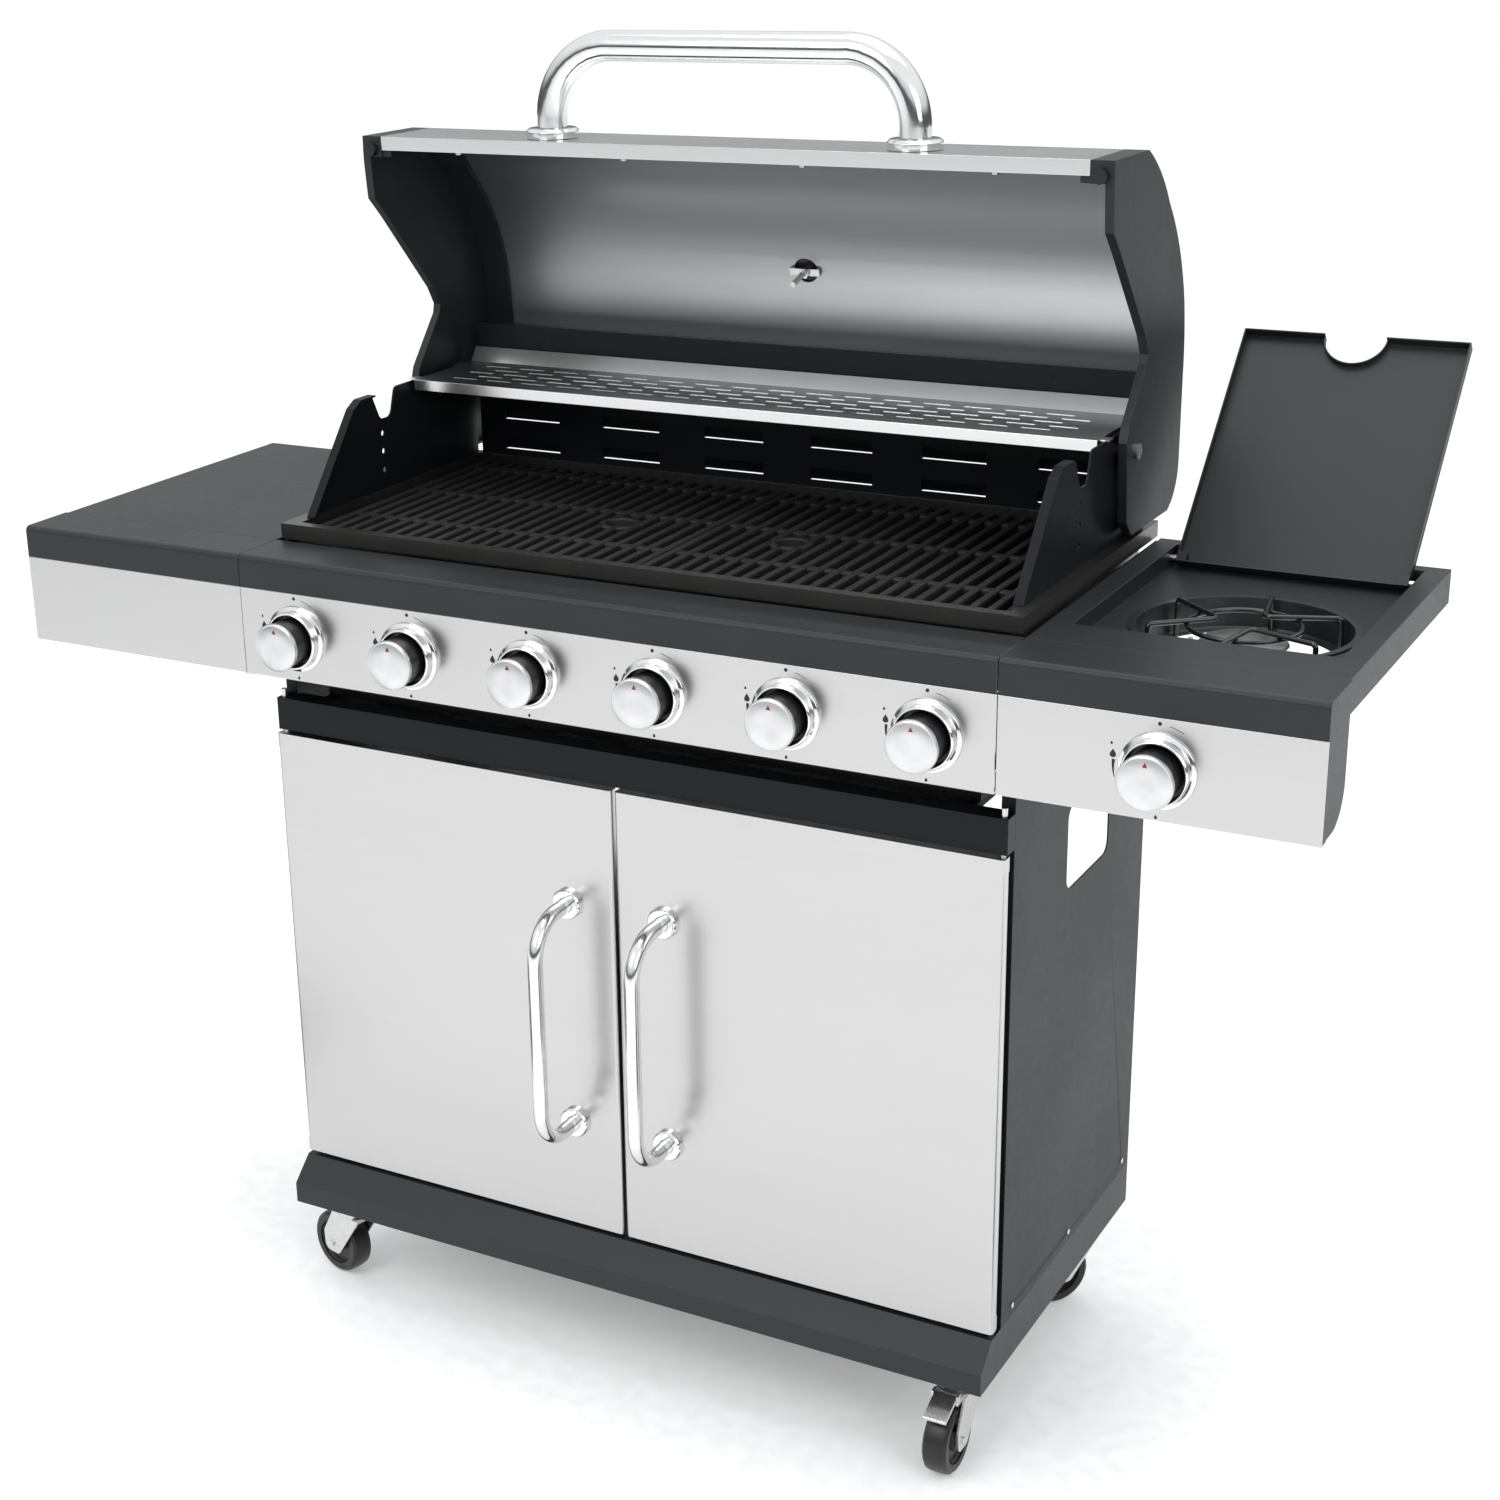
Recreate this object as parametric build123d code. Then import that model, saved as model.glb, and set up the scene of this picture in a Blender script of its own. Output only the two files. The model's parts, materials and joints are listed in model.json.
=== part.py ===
"""Gas barbecue grill on castors, with a side burner and a two-door cabinet, in millimetres.

X runs across the grill and is zero on the cabinet's centre line. Z is up from the floor.
Inside this file Y is measured back from the front plane of the control fascia; put() moves every
part by Y_CENTRE as it is written, so that the origin is under the middle of the whole grill.
The main lid and the side burner's lid are drawn open.
"""
from build123d import *
import math
import os

# ---- driving dimensions -------------------------------------------------------------------------
Y_CENTRE = 284.5                    # from the fascia plane to the middle of the grill's depth
HALF_WIDTH = 711.5                  # overall width is 1423
CABINET = 417.0                     # half width over the side panels
TOP = 879.0                         # worktop height
BAND = 845.0                        # lower edge of the black front band
FASCIA_LOW = 750.5                  # lower edge of the stainless fascia
DEPTH = 443.5                       # depth of shelves and cabinet
TRIM_DEPTH = 66.0                   # depth of the black front trim
SHEET = 1.5                         # pressed steel sheet
SPLIT_LEFT, SPLIT_RIGHT = -419.5, 420.0
SPLIT_GAP = 1.6

RAIL_TOP = 896.0                    # rim around the firebox
RAIL_X, RAIL_Y0, RAIL_Y1 = 416.0, 72.0, 448.0
FIRE_X, FIRE_Y0, FIRE_Y1 = 398.0, 84.0, 436.0
FIRE_LOW_X, FIRE_LOW_Z, FIRE_STEP_Z = 375.0, 708.0, 835.0
LEDGE = 14.0                        # width of the ledges along the firebox's long walls
TAMER_Z = 824.0                     # top of the ledges that carry the flame tamers
GRATE_Z = 878.0                     # underside of the cooking grates
GRATE_H = 11.0
PLATE_X = 403.5                     # outer face of the end plates
PLATE_TOP = 1005.0
WALL_Y = 438.0                      # front face of the rear wall
WALL_TOP = 1049.0
LOUVRE_X = 36.5                     # half length of a louvre
RACK_Y0, RACK_Y1 = 306.0, 425.0

LID_X = 418.4                       # outer face of the lid's end caps
SKIN_X = 394.4                      # half length of the stainless lid skin
PIVOT_Y, PIVOT_Z = 359.7, 986.9
LID_LIP_Y = 265.0                   # plane of the lid's front lip
CAP_WALL = 3.0
LID_HANDLE_X, LID_HANDLE_Y, LID_HANDLE_RISE = 204.0, 305.0, 93.0
LID_TUBE_R, LID_BEND = 16.0, 72.0
DIAL_PLACE = 0.92                   # where the thermometer sits along the lid's back curve

KNOB_Z, KNOB_PITCH, KNOB_SHIFT = 796.5, 140.9, 1.5
SIDE_KNOB_X = 568.0
KNOB_XS = [KNOB_SHIFT + KNOB_PITCH * (i - 2.5) for i in range(6)] + [SIDE_KNOB_X]
BEZEL_R, BEZEL_BORE = 35.0, 27.6
KNOB_R, KNOB_BACK, KNOB_FACE = 25.6, 8.0, 37.5
STEM_R, STEM_FLAT, RUN_GAP = 4.0, 2.8, 0.05
INLET_X, INLET_R = -438.0, 6.58     # gas inlet, left of the cabinet; its radius over the thread

DOOR_X0, DOOR_X1 = 1.8, 416.5
DOOR_Z0, DOOR_Z1 = 165.0, 671.0
DOOR_Y0, DOOR_Y1 = 39.0, 53.0
DOOR_SKIN = 1.2
HINGE_X, HINGE_Y, HINGE_R = 411.0, 50.0, 3.0
LINTEL_Z0, LINTEL_Z1, LINTEL_Y0, LINTEL_Y1 = 674.0, 710.0, 44.0, 68.0
PANEL_Y0, PANEL_FLANGE = 62.0, 14.0
PANEL_SCREWS = (90.0, 250.0, 420.0)
SEAM_Z = 160.0                      # side panel and cabinet floor meet here
BASE_Z0, LIP_TOP, LIP_Y = 111.0, 135.0, 11.0
HANDLE_X, HANDLE_Z0, HANDLE_Z1, HANDLE_Y = 56.0, 288.0, 539.5, -29.0
HANDLE_R, HANDLE_BEND = 8.0, 42.0

WELL_X0, WELL_X1, WELL_Y0, WELL_Y1, WELL_Z = 443.5, 687.5, 124.0, 427.0, 861.0
SIDE_X, SIDE_Y, BOWL_R, BOWL_FLOOR = 571.5, 230.0, 105.7, 832.5
BOWL_MOUTH = 87.5                   # radius of the opening in the bowl's floor
FLAP_X0, FLAP_X1, FLAP_LEN, FLAP_OPEN = 451.0, 679.0, 277.0, 135.0
FLAP_Y, FLAP_Z = 405.0, 871.0

WHEEL_R, WHEEL_W, TRAIL = 37.5, 26.0, 27.0
CASTER_SPOTS = {                    # swivel axis x, y and the direction that the wheel trails to
    "front_left": (-373.0, 62.0, 165.0),
    "front_right": (373.0, 62.0, -90.0),
    "rear_left": (-373.0, 405.0, -120.0),
    "rear_right": (373.0, 405.0, -130.0),
}
AXLE_R, STEM_BOLT_R = 4.0, 5.0
PEDAL_X, PEDAL_PIN_R = 31.0, 1.5

PARTS = {}


# ---- helpers ------------------------------------------------------------------------------------
def put(name, *solids):
    """Keep a node: one solid, or several separate ones, moved to the final origin."""
    pieces = [s for shape in solids for s in shape.solids()]
    moved = [Pos(0, -Y_CENTRE, 0) * s for s in pieces]
    PARTS[name] = moved[0] if len(moved) == 1 else Compound(moved)


def block(x0, x1, y0, y1, z0, z1):
    centre = Pos((x0 + x1) / 2, (y0 + y1) / 2, (z0 + z1) / 2)
    return centre * Box(x1 - x0, y1 - y0, z1 - z0)


def rod(start, end, radius):
    """A straight round bar from one point to another."""
    a, b = Vector(*start), Vector(*end)
    plane = Plane(origin=a, z_dir=b - a)
    return extrude(plane * Circle(radius), amount=(b - a).length)


def prism_x(face, x0, x1):
    """A profile drawn with (y, z) points, swept along X."""
    return Pos(x0, 0, 0) * extrude(Plane.YZ * face, amount=x1 - x0, dir=(1, 0, 0))


def prism_y(face, y0, y1):
    """A profile drawn with (x, z) points, swept along Y."""
    return Pos(0, y0, 0) * extrude(Plane.XZ * face, amount=y1 - y0, dir=(0, 1, 0))


def rounded(points, radius):
    """A closed outline with one radius, or one per corner."""
    return make_face(FilletPolyline(*points, radius=radius, close=True).edges())


def polygon(*points):
    return Polygon(*points, align=None)


def window(u0, u1, v0, v1, radius):
    return Pos((u0 + u1) / 2, (v0 + v1) / 2) * RectangleRounded(u1 - u0, v1 - v0, radius)


def turned(*points):
    """A solid turned about Z from (radius, height) points."""
    return revolve(Plane.XZ * polygon(*points), axis=Axis.Z)


def on_fascia(shape, x):
    """Stand a turned part on the fascia, its +Z towards the cook."""
    return Pos(x, 0, KNOB_Z) * Rot(90, 0, 0) * shape


def mirror_x(shape):
    return mirror(shape, about=Plane.YZ)


def fuse(first, *others):
    return first.fuse(*others) if others else first


def tube(path, radius, wall):
    """A bent tube along a wire of straight runs and tangent arcs."""
    section = Plane(origin=path @ 0, z_dir=path % 0)
    outside = sweep(section * Circle(radius), path=path)
    inside = sweep(section * Circle(radius - wall), path=path)
    return outside - inside


def screw(centre, direction, head_r=4.0, head_h=2.0, shank_r=2.0, shank=5.0):
    """A round-headed screw: the head stands off the surface along direction."""
    c, d = Vector(*centre), Vector(*direction).normalized()
    head = rod(c, c + d * head_h, head_r)
    return head + rod(c - d * shank, c + d * 0.5, shank_r)


# ---- worktop, trims and fascias -----------------------------------------------------------------
def shelf_tray(x0, x1):
    outer = block(x0, x1, TRIM_DEPTH + 0.3, DEPTH, BAND, TOP)
    inner = block(x0 + SHEET, x1 - SHEET, 0, DEPTH - SHEET, BAND - 1, TOP - SHEET)
    return outer - inner


def left_shelf():
    put("left_shelf", shelf_tray(-HALF_WIDTH + 2, SPLIT_LEFT - SPLIT_GAP / 2))


def right_shelf():
    tray = shelf_tray(SPLIT_RIGHT + SPLIT_GAP / 2, HALF_WIDTH - 2)
    hole = block(WELL_X0, WELL_X1, WELL_Y0, WELL_Y1, WELL_Z, TOP + 1)
    pan = block(WELL_X0 - SHEET, WELL_X1 + SHEET, WELL_Y0 - SHEET, WELL_Y1 + SHEET, WELL_Z - SHEET, TOP - SHEET)
    bowl_hole = rod((SIDE_X, SIDE_Y, WELL_Z - 5), (SIDE_X, SIDE_Y, WELL_Z + 1), BOWL_R - 4)
    shelf = (tray - hole) + (pan - hole) - bowl_hole
    for x in (WELL_X0 - 3, WELL_X1 + 3):
        shelf = shelf - rod((x - 6, FLAP_Y, FLAP_Z), (x + 6, FLAP_Y, FLAP_Z), 3.0)
    put("right_shelf", shelf)


def trim_profile(inset):
    """The band and the top strip, as one bent sheet with a rounded front edge."""
    r = 6.0 - inset
    front, top = inset, TOP - inset
    with BuildLine() as line:
        Polyline((TRIM_DEPTH, top), (front + r, top))
        Polyline((front, top - r), (front, BAND))
        RadiusArc((front + r, top), (front, top - r), -r)
    return line


def trim(x0, x1):
    outer = trim_profile(0.0)
    inner = trim_profile(SHEET)
    with BuildSketch(Plane.YZ) as section:
        with BuildLine():
            add(outer.line)
            add(inner.line)
            Line((TRIM_DEPTH, TOP), (TRIM_DEPTH, TOP - SHEET))
            Line((0, BAND), (SHEET, BAND))
        make_face()
    return Pos(x0, 0, 0) * extrude(section.sketch, amount=x1 - x0, dir=(1, 0, 0))


def end_cap():
    """The side cheek behind the right end of the fascia, with its rounded lower rear corner."""
    cheek = rounded([(2.0, FASCIA_LOW + 2), (TRIM_DEPTH, FASCIA_LOW + 2), (TRIM_DEPTH, BAND), (2.0, BAND)],
                    [1.0, 36.0, 1.0, 1.0])
    upper = block(HALF_WIDTH - 2, HALF_WIDTH, SHEET, TRIM_DEPTH, BAND, TOP - SHEET)
    return prism_x(cheek, HALF_WIDTH - 2, HALF_WIDTH) + upper


def front_trims():
    left = trim(-HALF_WIDTH, SPLIT_LEFT - SPLIT_GAP / 4) + mirror_x(end_cap())
    centre = trim(SPLIT_LEFT + SPLIT_GAP / 4, SPLIT_RIGHT - SPLIT_GAP / 2)
    right = trim(SPLIT_RIGHT + SPLIT_GAP / 2, HALF_WIDTH) + end_cap()
    put("front_trims", left, centre, right)


def fascia(name, x0, x1, knob_xs):
    """A stainless front panel, folded back along its top, bottom and ends."""
    skin, fold = 1.2, 14.0
    z0, z1 = FASCIA_LOW, BAND - 0.3
    panel = block(x0, x1, 0, skin, z0, z1)
    panel += block(x0, x1, 0, fold, z0, z0 + skin)
    panel += block(x0 + 3, x1 - 3, 0, fold, z1 - skin, z1)
    for x in (x0, x1 - skin):
        panel += block(x, x + skin, 0, skin + 0.6, z0, z1)
    panel = fillet(panel.edges().filter_by(Axis.X).sort_by(Axis.Y)[:1], 0.8)
    for x in knob_xs:
        panel -= rod((x, -1, KNOB_Z), (x, skin + 1, KNOB_Z), 16.0)
    put(name, panel)


def fascias():
    fascia("fascia_left", -HALF_WIDTH, SPLIT_LEFT - 0.4, [])
    fascia("fascia_centre", SPLIT_LEFT + 0.4, SPLIT_RIGHT - SPLIT_GAP / 2, KNOB_XS[:6])
    fascia("fascia_right", SPLIT_RIGHT + SPLIT_GAP / 2, HALF_WIDTH, KNOB_XS[6:])


# ---- knobs, bezels and valves -------------------------------------------------------------------
def bezels():
    ring = turned((16, 0), (BEZEL_R, 0), (BEZEL_R, 2.5), (31.5, 4.0), (30.5, 11.0), (29.0, 12.5),
                  (BEZEL_BORE, 12.0), (BEZEL_BORE, 2.0), (16, 2.0))
    put("knob_bezels", *[on_fascia(ring, x) for x in KNOB_XS])


def d_shaft(radius, flat, z0, z1):
    shaft = Pos(0, 0, (z0 + z1) / 2) * Cylinder(radius, z1 - z0)
    return shaft - block(-radius * 2, radius * 2, flat, radius * 2, z0 - 1, z1 + 1)


def knob():
    body = turned((0, KNOB_BACK), (KNOB_R, KNOB_BACK), (KNOB_R, KNOB_BACK + 4), (24.6, 16), (24.6, 32.5),
                  (25.2, 33.5), (25.2, 35.5), (24.2, 36.6), (12, KNOB_FACE - 0.2), (0, KNOB_FACE))
    return body - d_shaft(STEM_R + RUN_GAP, STEM_FLAT + RUN_GAP, KNOB_BACK - 1, 33.0)


def spool():
    """The plug that turns in the valve, with the D-shaped stem that carries the knob."""
    plug = turned((0, -42), (6, -42), (6, -17), (5, -16), (0, -16))
    return plug + d_shaft(STEM_R, STEM_FLAT, -16.5, 28.0)


def knobs_and_spools():
    for number, x in enumerate(KNOB_XS, start=1):
        put(f"knob_{number}", on_fascia(knob(), x))
        put(f"valve_spool_{number}", on_fascia(spool(), x))


def valve(x):
    """A brass valve: block with a bore for the spool, a neck down to the manifold and an orifice."""
    shell = block(x - 12, x + 12, 15.0, 46.0, KNOB_Z - 13, KNOB_Z + 11)
    neck = block(x - 6, x + 6, 24.0, 38.0, KNOB_Z - 21, KNOB_Z - 12)
    nose = rod((x, 45.5, KNOB_Z), (x, 62.0, KNOB_Z), 4.0)
    bore = rod((x, 14.0, KNOB_Z), (x, 42.3, KNOB_Z), 6.0 + RUN_GAP)
    return shell + neck + nose - bore


def gas_train():
    z = KNOB_Z - 28.0
    manifold = rod((INLET_X - 8, 31, z), (SIDE_KNOB_X + 18, 31, z), 9.0)
    inlet = rod((INLET_X, 31, z), (INLET_X, 31, z - 30.0), INLET_R)
    inlet_nut = extrude(Pos(INLET_X, 31, z - 15.0) * RegularPolygon(10.5, 6), amount=8.0)
    train = fuse(manifold, inlet, inlet_nut, *[valve(x) for x in KNOB_XS])
    feed = rod((SIDE_KNOB_X, 61.0, KNOB_Z), (SIDE_X, SIDE_Y, KNOB_Z), 7.0)
    riser = rod((SIDE_X, SIDE_Y, KNOB_Z - 7), (SIDE_X, SIDE_Y, BOWL_FLOOR + 5), 7.0)
    put("gas_train", train + feed + riser)


# ---- firebox and what is in it ------------------------------------------------------------------
def firebox():
    """Four welded walls with a rim on top; ledges along the long ones carry the tamers and grates."""
    rim = block(-RAIL_X, RAIL_X, RAIL_Y0, RAIL_Y1, TOP + 0.3, RAIL_TOP)
    rim -= block(-RAIL_X + 2, RAIL_X - 2, RAIL_Y0 + 2, RAIL_Y1 - 2, TOP - 1, RAIL_TOP - 2)
    mouth = block(-FIRE_X, FIRE_X, FIRE_Y0, FIRE_Y1, TOP - 2, RAIL_TOP + 1)
    upper = block(-FIRE_X - 2, FIRE_X + 2, FIRE_Y0 - 2, FIRE_Y1 + 2, FIRE_STEP_Z, RAIL_TOP - 0.5)
    upper -= block(-FIRE_X, FIRE_X, FIRE_Y0, FIRE_Y1, FIRE_STEP_Z + 2, RAIL_TOP + 1)
    lower = block(-FIRE_LOW_X, FIRE_LOW_X, FIRE_Y0 - 2, FIRE_Y1 + 2, FIRE_LOW_Z, FIRE_STEP_Z + 2)
    hollow = block(-FIRE_LOW_X + 2, FIRE_LOW_X - 2, FIRE_Y0, FIRE_Y1, FIRE_LOW_Z - 1, FIRE_STEP_Z + 3)
    box = (rim - mouth) + (upper - mouth) + lower - hollow
    for y0, y1 in ((FIRE_Y0 - 1, FIRE_Y0 + LEDGE), (FIRE_Y1 - LEDGE, FIRE_Y1 + 1)):
        box += block(-FIRE_X - 1, FIRE_X + 1, y0, y1, GRATE_Z - 2.3, GRATE_Z - 0.3)
        box += block(-FIRE_LOW_X + 1, FIRE_LOW_X - 1, y0, y1, TAMER_Z - 2, TAMER_Z)
        box += block(-FIRE_LOW_X + 1, FIRE_LOW_X - 1, y0, y1, FIRE_LOW_Z, FIRE_LOW_Z + 2)
    for x in KNOB_XS[:6]:
        box -= rod((x, FIRE_Y0 - 5, KNOB_Z), (x, FIRE_Y0 + 5, KNOB_Z), 13.0)
    front = block(-RAIL_X - 1, RAIL_X + 1, 0, FIRE_Y0 + LEDGE, 600, 1000)
    rear = block(-RAIL_X - 1, RAIL_X + 1, FIRE_Y1 - LEDGE, 600, 600, 1000)
    left = block(-RAIL_X - 1, 0, FIRE_Y0 + LEDGE, FIRE_Y1 - LEDGE, 600, 1000)
    put("firebox", box & front, box & rear, box & left, box & mirror_x(left))


def burner(x):
    """A straight tube burner with two rows of ports and an open air inlet at the front."""
    outer = rod((x, 57.0, KNOB_Z), (x, 424.0, KNOB_Z), 12.5)
    inner = rod((x, 56.0, KNOB_Z), (x, 422.0, KNOB_Z), 11.3)
    foot = block(x - 14, x + 14, 424.0, FIRE_Y1, KNOB_Z - 6, KNOB_Z + 6)
    return (outer - inner) + foot


def flame_tamer(x):
    """A folded roof of sheet over a burner."""
    half, rise, eaves_z = 44.0, 24.0, TAMER_Z + 0.3
    roof = polygon((x - half, eaves_z), (x, eaves_z + rise), (x + half, eaves_z), (x + half - 3, eaves_z),
                   (x, eaves_z + rise - 2), (x - half + 3, eaves_z))
    return prism_y(roof, FIRE_Y0 + 1, FIRE_Y1 - 1)


def burners_and_tamers():
    inside = KNOB_XS[:6]
    put("burners", *[burner(x) for x in inside])
    tamer_xs = [KNOB_SHIFT + 123.0 * (i - 2.5) for i in range(6)]
    put("flame_tamers", *[flame_tamer(x) for x in tamer_xs])


def louvre_places():
    for row_z in (904.0, 939.0):
        for column in range(6):
            yield 130.4 * (column - 2.5), row_z


def hood_outline(z):
    """The outside of a louvre's hood, which leans out from the wall and is open below."""
    return polygon((WALL_Y, z), (WALL_Y + 6.2, z + 0.3), (WALL_Y + 6.2, z + 3.5), (WALL_Y + SHEET, z + 15.5),
                   (WALL_Y, z + 15.5))


def rear_wall():
    wall = block(-396, 396, WALL_Y, WALL_Y + SHEET, RAIL_TOP + 0.2, WALL_TOP)
    channel = block(-396, 396, WALL_Y, WALL_Y + 10, WALL_TOP - 29, WALL_TOP)
    channel -= block(-397, 397, WALL_Y + SHEET, WALL_Y + 10 - SHEET, WALL_TOP - 29 + SHEET, WALL_TOP - SHEET)
    wall += channel
    for x, z in louvre_places():
        wall -= block(x - LOUVRE_X, x + LOUVRE_X, WALL_Y - 1, WALL_Y + SHEET + 1, z, z + 13)
        wall += prism_x(hood_outline(z), x - LOUVRE_X - 1, x + LOUVRE_X + 1)
        hollow = polygon((WALL_Y - 1, z), (WALL_Y + SHEET, z), (WALL_Y + SHEET, z - 2), (WALL_Y + 5, z - 2),
                         (WALL_Y + 5, z + 3.0), (WALL_Y + 0.5, z + 13), (WALL_Y - 1, z + 13))
        wall -= prism_x(hollow, x - LOUVRE_X, x + LOUVRE_X)
    for side in (-1, 1):
        wall -= rod((side * 300, WALL_Y - 1, WALL_TOP - 14), (side * 300, WALL_Y + 3, WALL_TOP - 14), 1.6)
    put("rear_wall", wall)


def plate_outline():
    return [(101, RAIL_TOP + 0.2), (184, 997), (199, PLATE_TOP), (229, PLATE_TOP), (244, 974), (264, 974),
            (274, PLATE_TOP), (WALL_Y - 0.3, PLATE_TOP), (WALL_Y - 0.3, RAIL_TOP + 0.2)]


def end_plate():
    """A pressed plate beside the fire, with a spit notch, a row of vent holes and a folded front edge."""
    radii = [0.5, 8, 6, 7, 9, 9, 7, 3, 0.5]
    plate = prism_x(rounded(plate_outline(), radii), PLATE_X - 2, PLATE_X)
    face = rounded(plate_outline(), radii)
    inner = offset(face, -2)
    edge = (face - inner) & polygon((90, RAIL_TOP), (90, 1020), (226, 1020), (226, 1000), (110, RAIL_TOP))
    plate += prism_x(edge, PLATE_X - 10, PLATE_X)
    for y, z in ((247, 958), (247, 938), (247, 917), (378, 915)):
        plate -= rod((PLATE_X - 3, y, z), (PLATE_X + 1, y, z), 3.2)
    bolt = rod((PLATE_X - 3, PIVOT_Y, PIVOT_Z), (PLATE_X + 1, PIVOT_Y, PIVOT_Z), 4.0 + RUN_GAP)
    return plate - bolt


def end_plates():
    right = end_plate()
    put("end_plates", mirror_x(right), right)


def warming_rack():
    z = PLATE_TOP + 0.3
    deck = block(-397, 397, RACK_Y0, RACK_Y1, z, z + SHEET)
    deck += block(-397, 397, RACK_Y0, RACK_Y0 + SHEET, z - 10, z + SHEET)
    slope = polygon((RACK_Y1 - 1, z), (RACK_Y1 + 0.6, z), (RACK_Y1 + 11.5, z + 16), (RACK_Y1 + 10.3, z + 16.8),
                    (RACK_Y1 - 1, z + SHEET))
    deck += prism_x(slope, -397, 397)
    for side in (-1, 1):
        for y in (RACK_Y0 + 12, RACK_Y1 - 19):
            a, b = sorted((side * 396, side * 407))
            deck += block(a, b, y - 7, y + 7, z, z + SHEET)
    slots = []
    for row in range(5):
        y = RACK_Y1 - 23 - row * 17.5
        stagger = 11.2 if row % 2 else -11.2
        for column in range(16):
            x = (column - 7.5) * 44.7 + stagger
            slots.append(block(x - 15, x + 15, y - 1.8, y + 1.8, z - 1, z + 3))
    put("warming_rack", deck.cut(*slots))


def grate(side):
    """A cast iron grate: bars front to back on three cross ribs, with a finger hole for lifting."""
    x0, x1 = 1.0, 392.5
    y0, y1 = FIRE_Y0 + 2, FIRE_Y1 - 2
    bars = 22
    pitch = (x1 - x0 - 8) / (bars - 1)
    pieces = [block(x0 + i * pitch, x0 + 8 + i * pitch, y0, y1, GRATE_Z, GRATE_Z + GRATE_H) for i in range(bars)]
    for y in (y0 + 10, 170, 288, 405, y1 - 6):
        pieces.append(block(x0, x1, y - 5, y + 5, GRATE_Z, GRATE_Z + GRATE_H - 2))
    whole = fuse(pieces[0], *pieces[1:])
    pad = rod((100, 243, GRATE_Z), (100, 243, GRATE_Z + GRATE_H), 24)
    hole = rod((100, 243, GRATE_Z - 1), (100, 243, GRATE_Z + GRATE_H + 1), 15)
    whole = whole + pad - hole
    return whole if side > 0 else mirror_x(whole)


def grates():
    put("grate_left", grate(-1))
    put("grate_right", grate(1))


def grease_tray():
    tray = block(-355, 355, 78, 441, 682, 704)
    tray -= block(-353.5, 353.5, 79.5, 439.5, 683.5, 705)
    rims = block(-364, -354, 78, 441, 702.5, 704) + block(354, 364, 78, 441, 702.5, 704)
    cup = rod((0, 250, 650), (0, 250, 682.5), 45) - rod((0, 250, 652), (0, 250, 684), 43)
    grip = block(-60, 60, 441, 455, 690, 692)
    put("grease_tray", fuse(tray, rims, cup, grip) - rod((0, 250, 681), (0, 250, 686), 20))


# ---- lid ----------------------------------------------------------------------------------------
def lid_back():
    """The stretch of the lid's outline that carries the thermometer."""
    return ThreePointArc((431, 1217), (469, 1168), (492, 1113))


def lid_outline():
    """The side outline of the lid as it stands open, as (y, z)."""
    with BuildLine() as line:
        Polyline((LID_LIP_Y, 1250), (LID_LIP_Y, 1276.5), (361, 1275.5))
        ThreePointArc((361, 1275.5), (400, 1250), (431, 1217))
        add(lid_back())
        ThreePointArc((492, 1113), (498, 1075), (499, 1034))
        Line((499, 1034), (499, 949))
        ThreePointArc((499, 949), (491, 921), (468, 902))
        Polyline((468, 902), (356, 902.5), (340, 919), (331.5, 1000), (337, 1015), (382, 1068))
        Line((382, 1068), (384.5, 1078))
        Polyline((384.5, 1078), (373, 1098), (290, 1189), (269, 1210), (LID_LIP_Y, 1250))
    return make_face(line.edges())


def lid_cap():
    """A cast end cap: a side wall with a rim turned in along its whole edge."""
    face = lid_outline()
    band = face - offset(face, -CAP_WALL, kind=Kind.INTERSECTION)
    deep_zone = polygon((240, 1255), (240, 1300), (520, 1300), (520, 930), (470, 930), (470, 1010), (400, 1190),
                        (330, 1255))
    wall = prism_x(face, LID_X - CAP_WALL, LID_X)
    rim = prism_x(band, LID_X - 9, LID_X)
    deep_rim = prism_x(band & deep_zone, SKIN_X + 0.2, LID_X)
    seat_band = offset(face, -CAP_WALL + 1.0, kind=Kind.INTERSECTION) - offset(face, -CAP_WALL - 1.5,
                                                                              kind=Kind.INTERSECTION)
    seat = prism_x(seat_band & deep_zone, SKIN_X - 10, LID_X - 1)
    seat -= block(SKIN_X - 11, SKIN_X + 0.2, 0, 900, 800, 1300) & prism_x(
        face - offset(face, -CAP_WALL, kind=Kind.INTERSECTION), SKIN_X - 11, SKIN_X + 0.2)
    cap = fuse(wall, rim, deep_rim, seat)
    return cap - rod((LID_X - 5, PIVOT_Y, PIVOT_Z), (LID_X + 1, PIVOT_Y, PIVOT_Z), 4.0)


def lid_caps():
    right = lid_cap()
    put("lid_caps", mirror_x(right), right)


def thermometer_plane():
    """A plane on the skin's outer face, its Z pointing out of the lid."""
    spot, along = lid_back() @ DIAL_PLACE, lid_back() % DIAL_PLACE
    return Plane(origin=(0, spot.X, spot.Y), x_dir=(1, 0, 0), z_dir=(0, -along.Y, along.X))


def lid_skin():
    face = lid_outline()
    band = face - offset(face, -SHEET, kind=Kind.INTERSECTION)
    zone = polygon((240, 1262), (240, 1300), (520, 1300), (520, 930), (470, 930), (470, 1010), (400, 1190),
                   (330, 1262))
    skin = prism_x(band & zone, -SKIN_X, SKIN_X)
    lip = block(-SKIN_X + 11, SKIN_X - 11, LID_LIP_Y, 276, 1262, 1263.5)
    hole = thermometer_plane() * Cylinder(14.0, 30.0)
    put("lid_skin", fuse(skin, lip) - hole)


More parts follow.
